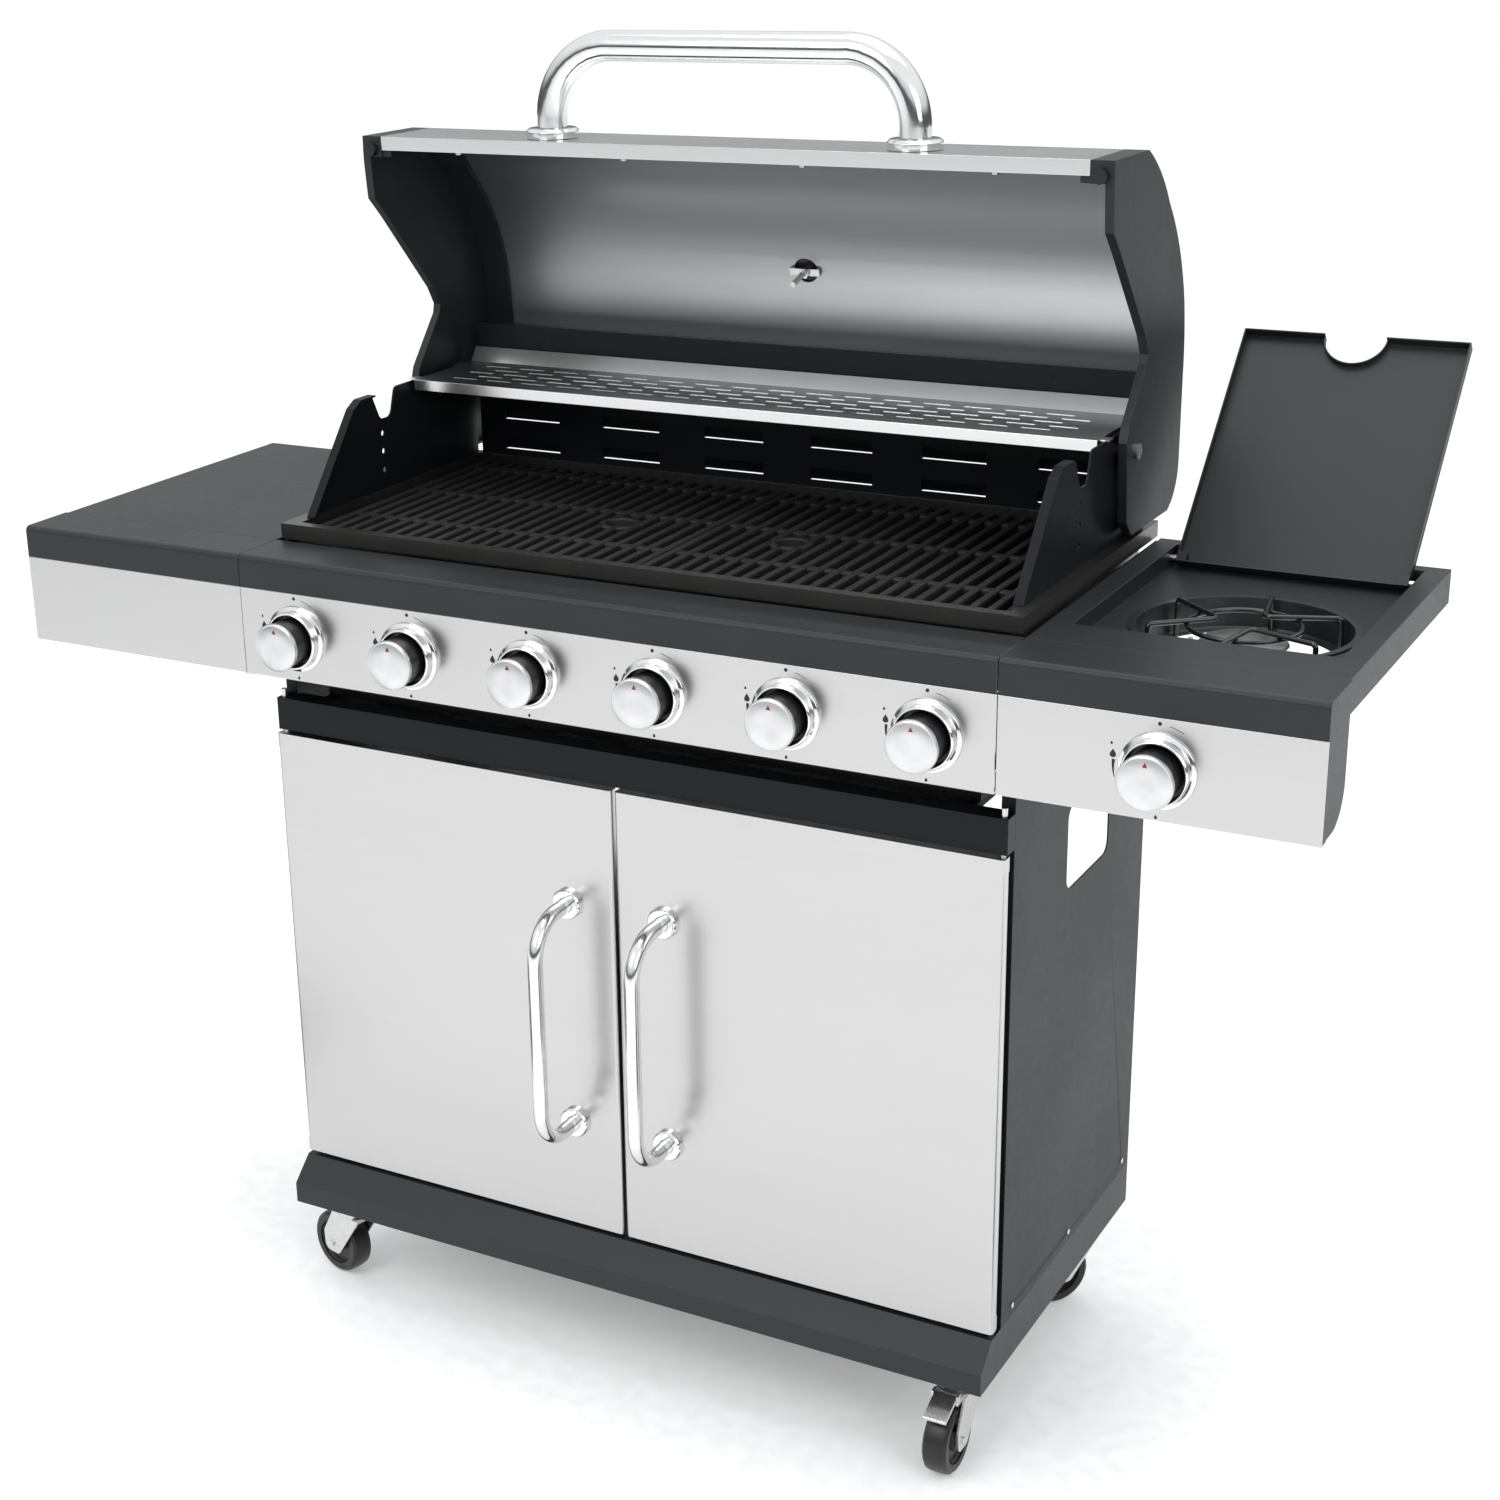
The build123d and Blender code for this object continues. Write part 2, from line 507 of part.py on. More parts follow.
def lid_handle():
    base_z = 1276.8
    top_z = base_z - 1.0 + LID_HANDLE_RISE
    x, y = LID_HANDLE_X, LID_HANDLE_Y
    path = FilletPolyline((-x, y, base_z + 1), (-x, y, top_z), (x, y, top_z), (x, y, base_z + 1), radius=LID_BEND)
    bar = tube(path, LID_TUBE_R, 2.0)
    rosette = turned((LID_TUBE_R + 0.1, 0), (27.5, 0), (27.5, 6.5), (25, 9.5), (LID_TUBE_R + 0.1, 10))
    put("lid_handle", bar, *[Pos(side * x, y, base_z) * rosette for side in (-1, 1)])


def lid_fasteners():
    """Pivot bolts with their spacers, screws under the front lip and two rubber bumpers."""
    bumper_z = 1262.5
    pieces = []
    for side in (-1, 1):
        bolt = rod((PLATE_X - 4, PIVOT_Y, PIVOT_Z), (LID_X + 0.5, PIVOT_Y, PIVOT_Z), 4.0)
        head = rod((LID_X, PIVOT_Y, PIVOT_Z), (LID_X + 3.5, PIVOT_Y, PIVOT_Z), 8.0)
        spacer = rod((PLATE_X + 0.3, PIVOT_Y, PIVOT_Z), (LID_X - CAP_WALL, PIVOT_Y, PIVOT_Z), 7.0)
        nut = rod((PLATE_X - 7, PIVOT_Y, PIVOT_Z), (PLATE_X - 2.4, PIVOT_Y, PIVOT_Z), 6.5)
        whole = fuse(bolt, head, spacer, nut)
        pieces.append(whole if side > 0 else mirror_x(whole))
        pieces.append(rod((side * 406, LID_LIP_Y - 7.5, bumper_z), (side * 406, LID_LIP_Y, bumper_z), 7.2))
    for x in (-300, -100, 100, 300):
        pieces.append(rod((x, 271, 1259.5), (x, 271, 1262.0), 3.5))
    put("lid_fasteners", *pieces)


def thermometer():
    """A round dial on the outside of the lid, its stem through the hole in the skin."""
    plane = thermometer_plane()
    case = turned((0, 1.5), (20, 1.5), (31, 3.0), (33, 5.0), (33, 13.0), (31.5, 14.0), (30, 14.0), (30, 8.0),
                  (1.5, 8.0), (1.5, 12.0), (0, 12.0))
    stem = Pos(0, 0, -17) * Cylinder(3.2, 38)
    nut = extrude(Pos(0, 0, -10) * RegularPolygon(6.5, 6), amount=4.0)
    strap = Pos(0, 0, -5.8) * Box(35, 8, 1.6)
    legs = [Pos(side * 16.5, 0, -4.3) * Box(2, 8, 3.0) for side in (-1, 1)]
    put("thermometer", plane * fuse(case, stem, nut, strap, *legs))
    needle = Pos(0, 8, 10.5) * Box(1.6, 24, 0.8) + Pos(0, 0, 10.5) * Cylinder(3.0, 1.6)
    put("thermometer_needle", plane * (needle - Pos(0, 0, 10.5) * Cylinder(1.5 + RUN_GAP, 5)))


# ---- cabinet ------------------------------------------------------------------------------------
def side_panel(side):
    body = block(CABINET - SHEET, CABINET, PANEL_Y0, DEPTH, SEAM_Z + 0.2, TOP - 3)
    for y in (PANEL_Y0, DEPTH - SHEET):
        body += block(CABINET - PANEL_FLANGE, CABINET, y, y + SHEET, SEAM_Z + 0.2, BAND - 2)
    hand_hole = window(208, 328.5, 576.5, 664, 13)
    body -= prism_x(hand_hole, CABINET - 5, CABINET + 1)
    for y in PANEL_SCREWS:
        body -= rod((CABINET - 5, y, SEAM_Z + 12), (CABINET + 1, y, SEAM_Z + 12), 1.4)
    return body if side > 0 else mirror_x(body)


def side_panels():
    put("side_panel_left", side_panel(-1))
    put("side_panel_right", side_panel(1))


def base():
    """The cabinet floor, with a lip and a slope along the front and a deep skirt."""
    def section(t):
        return polygon((LIP_Y + t, BASE_Z0 - (1 if t else 0)), (LIP_Y + t, LIP_TOP - t * 0.4),
                       (38 + t * 0.6, SEAM_Z - t), (DEPTH - t, SEAM_Z - t), (DEPTH - t, BASE_Z0 - (1 if t else 0)))
    shell = prism_x(section(0), -CABINET, CABINET) - prism_x(section(2), -CABINET + 2, CABINET - 2)
    for x, y, _ in CASTER_SPOTS.values():
        y0, y1 = (LIP_Y + 1, y + 45) if y < 200 else (y - 45, DEPTH - 1)
        x0, x1 = (-CABINET + 1, x + 45) if x < 0 else (x - 45, CABINET - 1)
        shell += block(x0, x1, y0, y1, BASE_Z0, BASE_Z0 + 3)
        shell -= rod((x, y, BASE_Z0 - 1), (x, y, BASE_Z0 + 4), STEM_BOLT_R + RUN_GAP)
    for side in (-1, 1):
        shell -= rod((side * HINGE_X, HINGE_Y, SEAM_Z - 3), (side * HINGE_X, HINGE_Y, SEAM_Z + 1), HINGE_R)
    put("base", shell)


def cabinet_rails():
    """The lintel over the doors, the rear brace and the two runners of the grease tray."""
    lintel = block(-CABINET, CABINET, LINTEL_Y0, LINTEL_Y1, LINTEL_Z0, LINTEL_Z1)
    lintel -= block(-CABINET + SHEET, CABINET - SHEET, LINTEL_Y0 + SHEET, LINTEL_Y1 + 1, LINTEL_Z0 + SHEET,
                    LINTEL_Z1 - SHEET)
    for side in (-1, 1):
        x = side * HINGE_X
        lintel -= rod((x, HINGE_Y, LINTEL_Z0 - 1), (x, HINGE_Y, LINTEL_Z1 + 1), HINGE_R)
        x0, x1 = sorted((side * (CABINET - PANEL_FLANGE - 0.2), side * (CABINET + 1)))
        lintel -= block(x0, x1, PANEL_Y0 - 0.2, LINTEL_Y1 + 1, LINTEL_Z0 - 1, LINTEL_Z1 + 1)
    brace_x = CABINET - PANEL_FLANGE - 0.3
    brace = block(-brace_x, brace_x, DEPTH - SHEET, DEPTH, SEAM_Z + 0.2, 420)
    pieces = [lintel, brace]
    for side in (-1, 1):
        runner = block(357, 374, 72, 440, 700.5, 702)
        runner += block(372.5, 374, 72, 440, 700.5, FIRE_LOW_Z)
        pieces.append(runner if side > 0 else mirror_x(runner))
    put("cabinet_rails", *pieces)


def door(side):
    """A shallow stainless pan with hinge blocks in its outer corners."""
    panel = block(DOOR_X0, DOOR_X1, DOOR_Y0, DOOR_Y1, DOOR_Z0, DOOR_Z1)
    panel = fillet(panel.edges().filter_by(Axis.Z), 4.0)
    s = DOOR_SKIN
    panel -= block(DOOR_X0 + s, DOOR_X1 - s, DOOR_Y0 + s, DOOR_Y1 + 1, DOOR_Z0 + s, DOOR_Z1 - s)
    for z0, z1 in ((DOOR_Z0, DOOR_Z0 + 16), (DOOR_Z1 - 16, DOOR_Z1)):
        panel += block(HINGE_X - 6, DOOR_X1 - 0.6, DOOR_Y0 + 0.6, DOOR_Y1, z0 + 0.3, z1 - 0.3)
        panel -= rod((HINGE_X, HINGE_Y, z0 - 1), (HINGE_X, HINGE_Y, z1 + 1), HINGE_R + RUN_GAP)
    return panel if side > 0 else mirror_x(panel)


def door_handle(side):
    x = HANDLE_X
    path = FilletPolyline((x, DOOR_Y0, HANDLE_Z0), (x, HANDLE_Y, HANDLE_Z0), (x, HANDLE_Y, HANDLE_Z1),
                          (x, DOOR_Y0, HANDLE_Z1), radius=HANDLE_BEND)
    pieces = [tube(path, HANDLE_R, 1.5)]
    rosette = turned((HANDLE_R + 0.1, 0), (16.5, 0), (16.5, 4.5), (15, 6.5), (HANDLE_R + 0.1, 7))
    for z in (HANDLE_Z0, HANDLE_Z1):
        pieces.append(Pos(x, DOOR_Y0, z) * Rot(90, 0, 0) * rosette)
    return pieces if side > 0 else [mirror_x(p) for p in pieces]


def doors():
    for name, side in (("left", -1), ("right", 1)):
        put(f"door_{name}", door(side))
        put(f"door_handle_{name}", *door_handle(side))


def frame_fasteners():
    """Hinge pins of both doors and of the side burner's lid, and the screws that show."""
    pieces = []
    for side in (-1, 1):
        x = side * HINGE_X
        pieces.append(rod((x, HINGE_Y, DOOR_Z1 - 17), (x, HINGE_Y, LINTEL_Z1 + 9), HINGE_R))
        pieces.append(rod((x, HINGE_Y, SEAM_Z - 3), (x, HINGE_Y, DOOR_Z0 + 17), HINGE_R))
        for y in PANEL_SCREWS:
            pieces.append(screw((side * CABINET, y, SEAM_Z + 12), (side, 0, 0), 3.0, 1.5, 1.4, 1.0))
        pieces.append(screw((side * 300, WALL_Y, WALL_TOP - 14), (0, -1, 0), 2.6, 1.0, 1.6, 1.2))
    for x0, x1 in ((WELL_X0 - 5, FLAP_X0 + 8), (FLAP_X1 - 8, WELL_X1 + 5)):
        pieces.append(rod((x0, FLAP_Y, FLAP_Z), (x1, FLAP_Y, FLAP_Z), 3.0))
    put("frame_fasteners", *pieces)


# ---- side burner --------------------------------------------------------------------------------
def side_lid():
    """The side burner's lid, a shallow pan with a finger notch, drawn closed and then swung open."""
    y0 = FLAP_Y - FLAP_LEN
    pan = block(FLAP_X0, FLAP_X1, y0, FLAP_Y + 5, FLAP_Z - 4, TOP)
    pan -= block(FLAP_X0 + SHEET, FLAP_X1 - SHEET, y0 + SHEET, FLAP_Y + 5 - SHEET, FLAP_Z - 5, TOP - SHEET)
    mid = (FLAP_X0 + FLAP_X1) / 2
    pan -= rod((mid, y0, FLAP_Z - 10), (mid, y0, TOP + 1), 31.0)
    collar = rod((mid, y0, FLAP_Z), (mid, y0, TOP), 31.0 + SHEET)
    collar -= rod((mid, y0, FLAP_Z - 1), (mid, y0, TOP + 1), 31.0)
    pan += collar & block(FLAP_X0, FLAP_X1, y0, FLAP_Y, FLAP_Z, TOP)
    for x0, x1 in ((FLAP_X0, FLAP_X0 + 10), (FLAP_X1 - 10, FLAP_X1)):
        pan += block(x0, x1, FLAP_Y - 6, FLAP_Y + 5, FLAP_Z - 4.5, TOP - 0.5)
        pan -= rod((x0 - 1, FLAP_Y, FLAP_Z), (x1 + 1, FLAP_Y, FLAP_Z), 3.0 + RUN_GAP)
    hinge = Pos(0, FLAP_Y, FLAP_Z)
    put("side_lid", hinge * Rot(-FLAP_OPEN, 0, 0) * hinge.inverse() * pan)


def burner_bowl():
    """The dished liner under the side burner, open at the bottom with a bridge that holds the burner."""
    z = WELL_Z + 0.2
    dish = turned((BOWL_R - 6, z), (BOWL_R, z), (BOWL_R, z + 1.5), (BOWL_R - 7, z + 1.5), (96, BOWL_FLOOR + 2),
                  (94.5, BOWL_FLOOR), (BOWL_MOUTH, BOWL_FLOOR), (BOWL_MOUTH, BOWL_FLOOR - 1.5),
                  (95.2, BOWL_FLOOR - 1.5), (97.4, BOWL_FLOOR + 1.2))
    dish = Pos(SIDE_X, SIDE_Y, 0) * dish
    reach = BOWL_MOUTH + 2
    bridge = block(SIDE_X - 11, SIDE_X + 11, SIDE_Y - reach, SIDE_Y + reach, BOWL_FLOOR - 3.5, BOWL_FLOOR - 1.4)
    bridge -= rod((SIDE_X, SIDE_Y, BOWL_FLOOR - 5), (SIDE_X, SIDE_Y, BOWL_FLOOR), 8.0)
    put("burner_bowl", dish + bridge)


def side_burner():
    """A round burner cup with its cap, and an ignition electrode on an arm."""
    base_z = BOWL_FLOOR - 1.3
    cup = turned((0, 0), (14, 0), (16, 3), (36, 6), (39, 9), (39, 13), (0, 13))
    cup = Pos(SIDE_X, SIDE_Y, base_z) * cup
    cup += block(SIDE_X - 54, SIDE_X - 10, SIDE_Y - 5, SIDE_Y + 5, base_z, base_z + 2)
    cup -= rod((SIDE_X, SIDE_Y, base_z - 1), (SIDE_X, SIDE_Y, base_z + 10), 8.0)
    cap = Pos(SIDE_X, SIDE_Y, base_z + 13.2) * turned((0, 0), (39, 0), (41.5, 2), (40, 4.5), (25, 6.0), (0, 6.5))
    electrode = rod((SIDE_X - 50, SIDE_Y, base_z + 2), (SIDE_X - 50, SIDE_Y, base_z + 15), 2.5)
    put("side_burner", cup, cap, electrode)


def pan_support():
    """A wire trivet: three V-shaped wires on an inner ring, each with two legs down into the bowl."""
    top_z, leg_z, wire_r = 868.0, BOWL_FLOOR + 0.2, 2.5
    outer_r, leg_r, apex_r, ring_r = 89.5, 90.5, 24.0, 52.0

    def spot(radius, degrees, z):
        turn = math.radians(degrees)
        return SIDE_X + radius * math.cos(turn), SIDE_Y + radius * math.sin(turn), z

    pieces = [Pos(SIDE_X, SIDE_Y, top_z - 2 * wire_r + 0.6) * Torus(ring_r, wire_r)]
    for apex in (60, 180, 300):
        points = [spot(leg_r, apex - 30, leg_z), spot(outer_r, apex - 30, top_z), spot(apex_r, apex, top_z),
                  spot(outer_r, apex + 30, top_z), spot(leg_r, apex + 30, leg_z)]
        wire = FilletPolyline(*points, radius=[4, 6, 4])
        pieces.append(sweep(Plane(origin=wire @ 0, z_dir=wire % 0) * Circle(wire_r), path=wire))
    put("pan_support", fuse(*pieces))


# ---- castors ------------------------------------------------------------------------------------
def caster(name, x, y, heading, braked):
    """A swivel castor. It is drawn with its wheel trailing towards +X and is then turned to heading."""
    place = Pos(x, y, 0) * Rot(0, 0, heading)
    half = WHEEL_W / 2
    axle_x = TRAIL
    crown_z = WHEEL_R * 2 + 6
    pedal_z = crown_z + 6.5
    cheek = rounded([(axle_x - 12, WHEEL_R - 10), (axle_x + 12, WHEEL_R - 10), (axle_x + 13, WHEEL_R + 14),
                     (22, crown_z + 2.5), (-22, crown_z + 2.5), (-18, crown_z - 6)], [9, 9, 6, 3, 3, 5])
    fork = block(-22, 24, -half - 4.5, half + 4.5, crown_z, crown_z + 2.5)
    for side in (-1, 1):
        inner = side * (half + 2)
        y0, y1 = sorted((inner, inner + side * 2.5))
        fork += prism_y(cheek, y0, y1)
    fork += turned((0, crown_z + 2), (21, crown_z + 2), (23, crown_z + 8), (23, crown_z + 14), (20, crown_z + 18),
                   (20, BASE_Z0 - 0.5), (0, BASE_Z0 - 0.5))
    fork += rod((0, 0, BASE_Z0 - 1), (0, 0, BASE_Z0 + 9), STEM_BOLT_R)
    fork += rod((axle_x, -half - 6.5, WHEEL_R), (axle_x, half + 6.5, WHEEL_R), AXLE_R)
    if braked:
        fork += block(20, PEDAL_X + 2, -14.3, 14.3, crown_z, crown_z + 2.5)
        for y in (-14.3, 12.3):
            fork += block(PEDAL_X - 4, PEDAL_X + 4, y, y + 2, crown_z, pedal_z + 4)
        pin_hole = rod((PEDAL_X, -15, pedal_z), (PEDAL_X, 15, pedal_z), PEDAL_PIN_R + RUN_GAP)
        fork -= pin_hole
    put(f"caster_fork_{name}", place * fork)

    tyre = turned((AXLE_R + RUN_GAP, -half + 1), (13, -half + 1), (14, -half + 4), (27, -half + 4),
                  (29, -half), (WHEEL_R - 4, -half), (WHEEL_R, -half + 5), (WHEEL_R, half - 5),
                  (WHEEL_R - 4, half), (29, half), (27, half - 4), (14, half - 4), (13, half - 1),
                  (AXLE_R + RUN_GAP, half - 1))
    put(f"caster_wheel_{name}", place * Pos(axle_x, 0, WHEEL_R) * Rot(90, 0, 0) * tyre)

    if braked:
        pedal = rounded([(PEDAL_X - 1, pedal_z - 2), (PEDAL_X + 30, crown_z - 8), (PEDAL_X + 31, crown_z - 4),
                         (PEDAL_X + 1, pedal_z + 2.5)], [1, 1.5, 1.5, 1])
        lever = prism_y(pedal, -12, 12)
        lever += rod((PEDAL_X, -12, pedal_z), (PEDAL_X, 12, pedal_z), 2.5)
        lever += rod((PEDAL_X, -14.3, pedal_z), (PEDAL_X, 14.3, pedal_z), PEDAL_PIN_R)
        put(f"brake_lever_{name}", place * lever)


def casters():
    for name, (x, y, heading) in CASTER_SPOTS.items():
        caster(name, x, y, heading, name.startswith("front"))


def main():
    left_shelf()
    right_shelf()
    front_trims()
    fascias()
    bezels()
    knobs_and_spools()
    gas_train()
    firebox()
    burners_and_tamers()
    rear_wall()
    end_plates()
    warming_rack()
    grates()
    grease_tray()
    lid_caps()
    lid_skin()
    lid_handle()
    lid_fasteners()
    thermometer()
    side_panels()
    base()
    cabinet_rails()
    doors()
    frame_fasteners()
    side_lid()
    burner_bowl()
    side_burner()
    pan_support()
    casters()
    os.makedirs("parts", exist_ok=True)
    for name, shape in PARTS.items():
        export_step(shape, f"parts/{name}.step")


main()
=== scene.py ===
"""The looks of the gas barbecue grill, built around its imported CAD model.

Everything is in metres in the row frame: X to the cook's right, Y away from the cook, Z up from the floor.
"""

import json
import math

import bmesh
import bpy
from mathutils import Matrix, Vector


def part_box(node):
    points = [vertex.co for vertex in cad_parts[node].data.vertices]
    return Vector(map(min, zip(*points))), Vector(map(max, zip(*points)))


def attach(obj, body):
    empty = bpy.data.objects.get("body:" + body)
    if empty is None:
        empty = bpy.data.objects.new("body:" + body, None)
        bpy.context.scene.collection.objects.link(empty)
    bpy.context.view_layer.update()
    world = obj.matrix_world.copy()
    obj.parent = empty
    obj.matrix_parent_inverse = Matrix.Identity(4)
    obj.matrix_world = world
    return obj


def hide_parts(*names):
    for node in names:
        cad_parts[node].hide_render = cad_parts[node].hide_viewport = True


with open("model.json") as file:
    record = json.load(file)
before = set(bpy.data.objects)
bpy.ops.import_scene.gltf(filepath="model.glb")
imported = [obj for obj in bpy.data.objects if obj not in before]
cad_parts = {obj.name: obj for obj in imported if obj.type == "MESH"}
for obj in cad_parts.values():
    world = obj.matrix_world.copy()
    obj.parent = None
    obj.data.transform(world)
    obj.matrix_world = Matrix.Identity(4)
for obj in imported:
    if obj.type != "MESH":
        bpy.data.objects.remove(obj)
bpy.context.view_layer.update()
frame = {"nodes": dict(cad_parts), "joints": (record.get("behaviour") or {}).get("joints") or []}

MM = 0.001
KNOBS = range(1, 8)
CASTERS = ("front_left", "front_right", "rear_left", "rear_right")
FACING_COOK = Matrix.Rotation(math.radians(90), 4, "X")   # turns a part's +Z to face the cook
WELD_GAP = 1e-5            # corners closer than this are one corner
SMOOTH_ANGLE = 32          # degrees; sharper edges stay sharp on the pieces made here
LONG_GRAIN, FINE_GRAIN = 9, 1500   # brushed steel's noise scale along and across its grain


# ---- materials ----------------------------------------------------------------------------------
class Look:
    """A material, and short names for the nodes that it is made of."""

    def __init__(self, name, metallic=0.0, coat=0.0, ior=1.5):
        self.material = bpy.data.materials.new(name)
        self.material.use_nodes = True
        self.tree = self.material.node_tree
        self.shader = self.tree.nodes["Principled BSDF"]
        self.shader.inputs["Metallic"].default_value = metallic
        self.shader.inputs["Coat Weight"].default_value = coat
        self.shader.inputs["Coat Roughness"].default_value = 0.12
        self.shader.inputs["IOR"].default_value = ior
        self.place = self.node("ShaderNodeTexCoord").outputs["Object"]

    def node(self, kind, **settings):
        node = self.tree.nodes.new(kind)
        for name, value in settings.items():
            setattr(node, name, value)
        return node

    def put(self, socket, value):
        if isinstance(value, bpy.types.NodeSocket):
            self.tree.links.new(value, socket)
        else:
            socket.default_value = value

    def stretched(self, scale):
        """Object coordinates in units of 1/scale metres along each axis."""
        mapping = self.node("ShaderNodeMapping")
        self.put(mapping.inputs["Vector"], self.place)
        mapping.inputs["Scale"].default_value = scale
        return mapping.outputs["Vector"]

    def noise(self, scale, detail=3.0, roughness=0.5):
        noise = self.node("ShaderNodeTexNoise")
        self.put(noise.inputs["Vector"], self.stretched(scale))
        noise.inputs["Scale"].default_value = 1.0
        noise.inputs["Detail"].default_value = detail
        noise.inputs["Roughness"].default_value = roughness
        return noise.outputs["Fac"]

    def cells(self, scale):
        voronoi = self.node("ShaderNodeTexVoronoi")
        self.put(voronoi.inputs["Vector"], self.stretched(scale))
        voronoi.inputs["Scale"].default_value = 1.0
        return voronoi.outputs["Color"]

    def fit(self, value, low, high, start, end):
        """Maps low..high of a value to start..end."""
        fit = self.node("ShaderNodeMapRange")
        for key, number in zip(("From Min", "From Max", "To Min", "To Max"), (low, high, start, end)):
            fit.inputs[key].default_value = number
        self.put(fit.inputs["Value"], value)
        return fit.outputs["Result"]

    def math(self, kind, a, b):
        node = self.node("ShaderNodeMath", operation=kind)
        self.put(node.inputs[0], a)
        self.put(node.inputs[1], b)
        return node.outputs["Value"]

    def sum(self, a, b):
        return self.math("ADD", a, b)

    def product(self, a, b):
        return self.math("MULTIPLY", a, b)

    def blend(self, factor, first, second):
        mix = self.node("ShaderNodeMix", data_type="RGBA")
        self.put(mix.inputs["Factor"], factor)
        self.put(mix.inputs["A"], first)
        self.put(mix.inputs["B"], second)
        return mix.outputs["Result"]

    def edges(self, radius):
        """1 on edges sharper than the radius, 0 on flats."""
        bevel = self.node("ShaderNodeBevel", samples=4)
        bevel.inputs["Radius"].default_value = radius
        shape = self.node("ShaderNodeNewGeometry")
        dot = self.node("ShaderNodeVectorMath", operation="DOT_PRODUCT")
        self.put(dot.inputs[0], bevel.outputs["Normal"])
        self.put(dot.inputs[1], shape.outputs["Normal"])
        return self.fit(dot.outputs["Value"], 0.82, 0.99, 1.0, 0.0)

    def bump(self, height, strength, distance, base=None):
        bump = self.node("ShaderNodeBump")
        bump.inputs["Strength"].default_value = strength
        bump.inputs["Distance"].default_value = distance
        self.put(bump.inputs["Height"], height)
        if base is not None:
            self.put(bump.inputs["Normal"], base)
        self.put(self.shader.inputs["Normal"], bump.outputs["Normal"])
        return bump.outputs["Normal"]

    def colour(self, value):
        self.put(self.shader.inputs["Base Color"], value)

    def rough(self, value):
        self.put(self.shader.inputs["Roughness"], value)


def grey(level, warm=0.0):
    """A grey, made warmer or, below zero, cooler."""
    return (level + warm, level, level - warm, 1.0)


def brushed(name, grain_axis, tone, rough, warm=0.0, contrast=0.07):
    """Brushed stainless steel: a fine grain along one axis, long soft bands and faint hand marks."""
    look = Look(name, metallic=1.0)
    along = tuple(LONG_GRAIN if axis == grain_axis else FINE_GRAIN for axis in "XYZ")
    broad_along = tuple(0.2 * s if s == LONG_GRAIN else 0.006 * s for s in along)
    grain = look.noise(along, 3.0, 0.6)
    bands = look.noise(broad_along, 2.0)
    marks = look.noise((9, 9, 9), 4.0, 0.6)
    tones = look.sum(look.product(grain, 0.6), look.product(bands, 0.4))
    light, dark = grey(tone, warm), grey(tone * (1 - contrast), warm)
    look.colour(look.blend(look.fit(tones, 0.38, 0.62, 0, 1), dark, light))
    base = look.fit(tones, 0.35, 0.65, rough + 0.015, rough - 0.01)
    look.rough(look.sum(base, look.fit(marks, 0.5, 0.8, 0.0, 0.02)))
    look.bump(grain, 0.012, 0.0001)
    return look.material


def powder_coat(name, tone, edge_tone, rough, grain=1400, relief=0.06, specular=0.5):
    """Satin powder coat, faintly blue, with a fine orange-peel and lightly rubbed edges."""
    look = Look(name, ior=1.45)
    look.shader.inputs["Specular IOR Level"].default_value = specular
    peel = look.noise((grain,) * 3, 2.0)
    cloud = look.noise((5, 5, 5), 3.0, 0.5)
    dust = look.noise((90, 90, 90), 5.0, 0.7)
    body = look.blend(look.fit(cloud, 0.35, 0.65, 0, 1), grey(tone, -0.0016), grey(tone * 1.12, -0.0016))
    dusty = look.blend(look.fit(dust, 0.66, 0.85, 0, 0.12), body, grey(tone * 2.5))
    worn = look.product(look.edges(0.0009), look.fit(dust, 0.35, 0.6, 0.1, 0.8))
    look.colour(look.blend(worn, dusty, grey(edge_tone)))
    look.rough(look.fit(look.sum(cloud, dust), 0.8, 1.2, rough - 0.02, rough + 0.03))
    look.bump(peel, relief, 0.0002)
    return look.material


def cast_iron(name):
    """Seasoned cast iron: matt black, lumpy and grainy."""
    look = Look(name, ior=1.45)
    grain = look.noise((650,) * 3, 5.0, 0.65)
    lumps = look.noise((140,) * 3, 3.0)
    cloud = look.noise((12,) * 3, 4.0)
    tone = look.blend(look.fit(cloud, 0.35, 0.65, 0, 1), grey(0.010), grey(0.016, 0.001))
    look.colour(look.blend(look.fit(grain, 0.55, 0.8, 0, 0.4), tone, grey(0.03)))
    look.rough(look.fit(lumps, 0.3, 0.7, 0.5, 0.72))
    relief = look.bump(lumps, 0.25, 0.0006)
    look.bump(grain, 0.5, 0.0004, relief)
    return look.material


def enamel(name, tone, warm, rough, speck=0.5):
    """Fired enamel: smooth, with tiny pale specks and a wavy surface."""
    look = Look(name, coat=0.3)
    wave = look.noise((45,) * 3, 2.0)
    specks = look.noise((900,) * 3, 1.0)
    cloud = look.noise((10,) * 3, 4.0)
    body = look.blend(look.fit(cloud, 0.35, 0.65, 0, 1), grey(tone, warm), grey(tone * 1.4, warm))
    look.colour(look.blend(look.fit(specks, 0.7, 0.76, 0, speck), body, grey(0.12, 0.01)))
    look.rough(look.fit(cloud, 0.3, 0.7, rough - 0.04, rough + 0.08))
    look.bump(wave, 0.12, 0.001)
    return look.material


def polished(name, tone, rough, smear):
    """Polished chrome or steel with faint smears and the odd fine scratch."""
    look = Look(name, metallic=1.0)
    smears = look.noise((30, 30, 12), 5.0, 0.65)
    scratch = look.noise((900, 900, 60), 2.0)
    look.colour(look.blend(look.fit(smears, 0.4, 0.7, 0, 1), grey(tone), grey(tone * 0.93)))
    look.rough(look.fit(smears, 0.4, 0.75, rough, rough + smear))
    look.bump(scratch, 0.02, 0.0001)
    return look.material


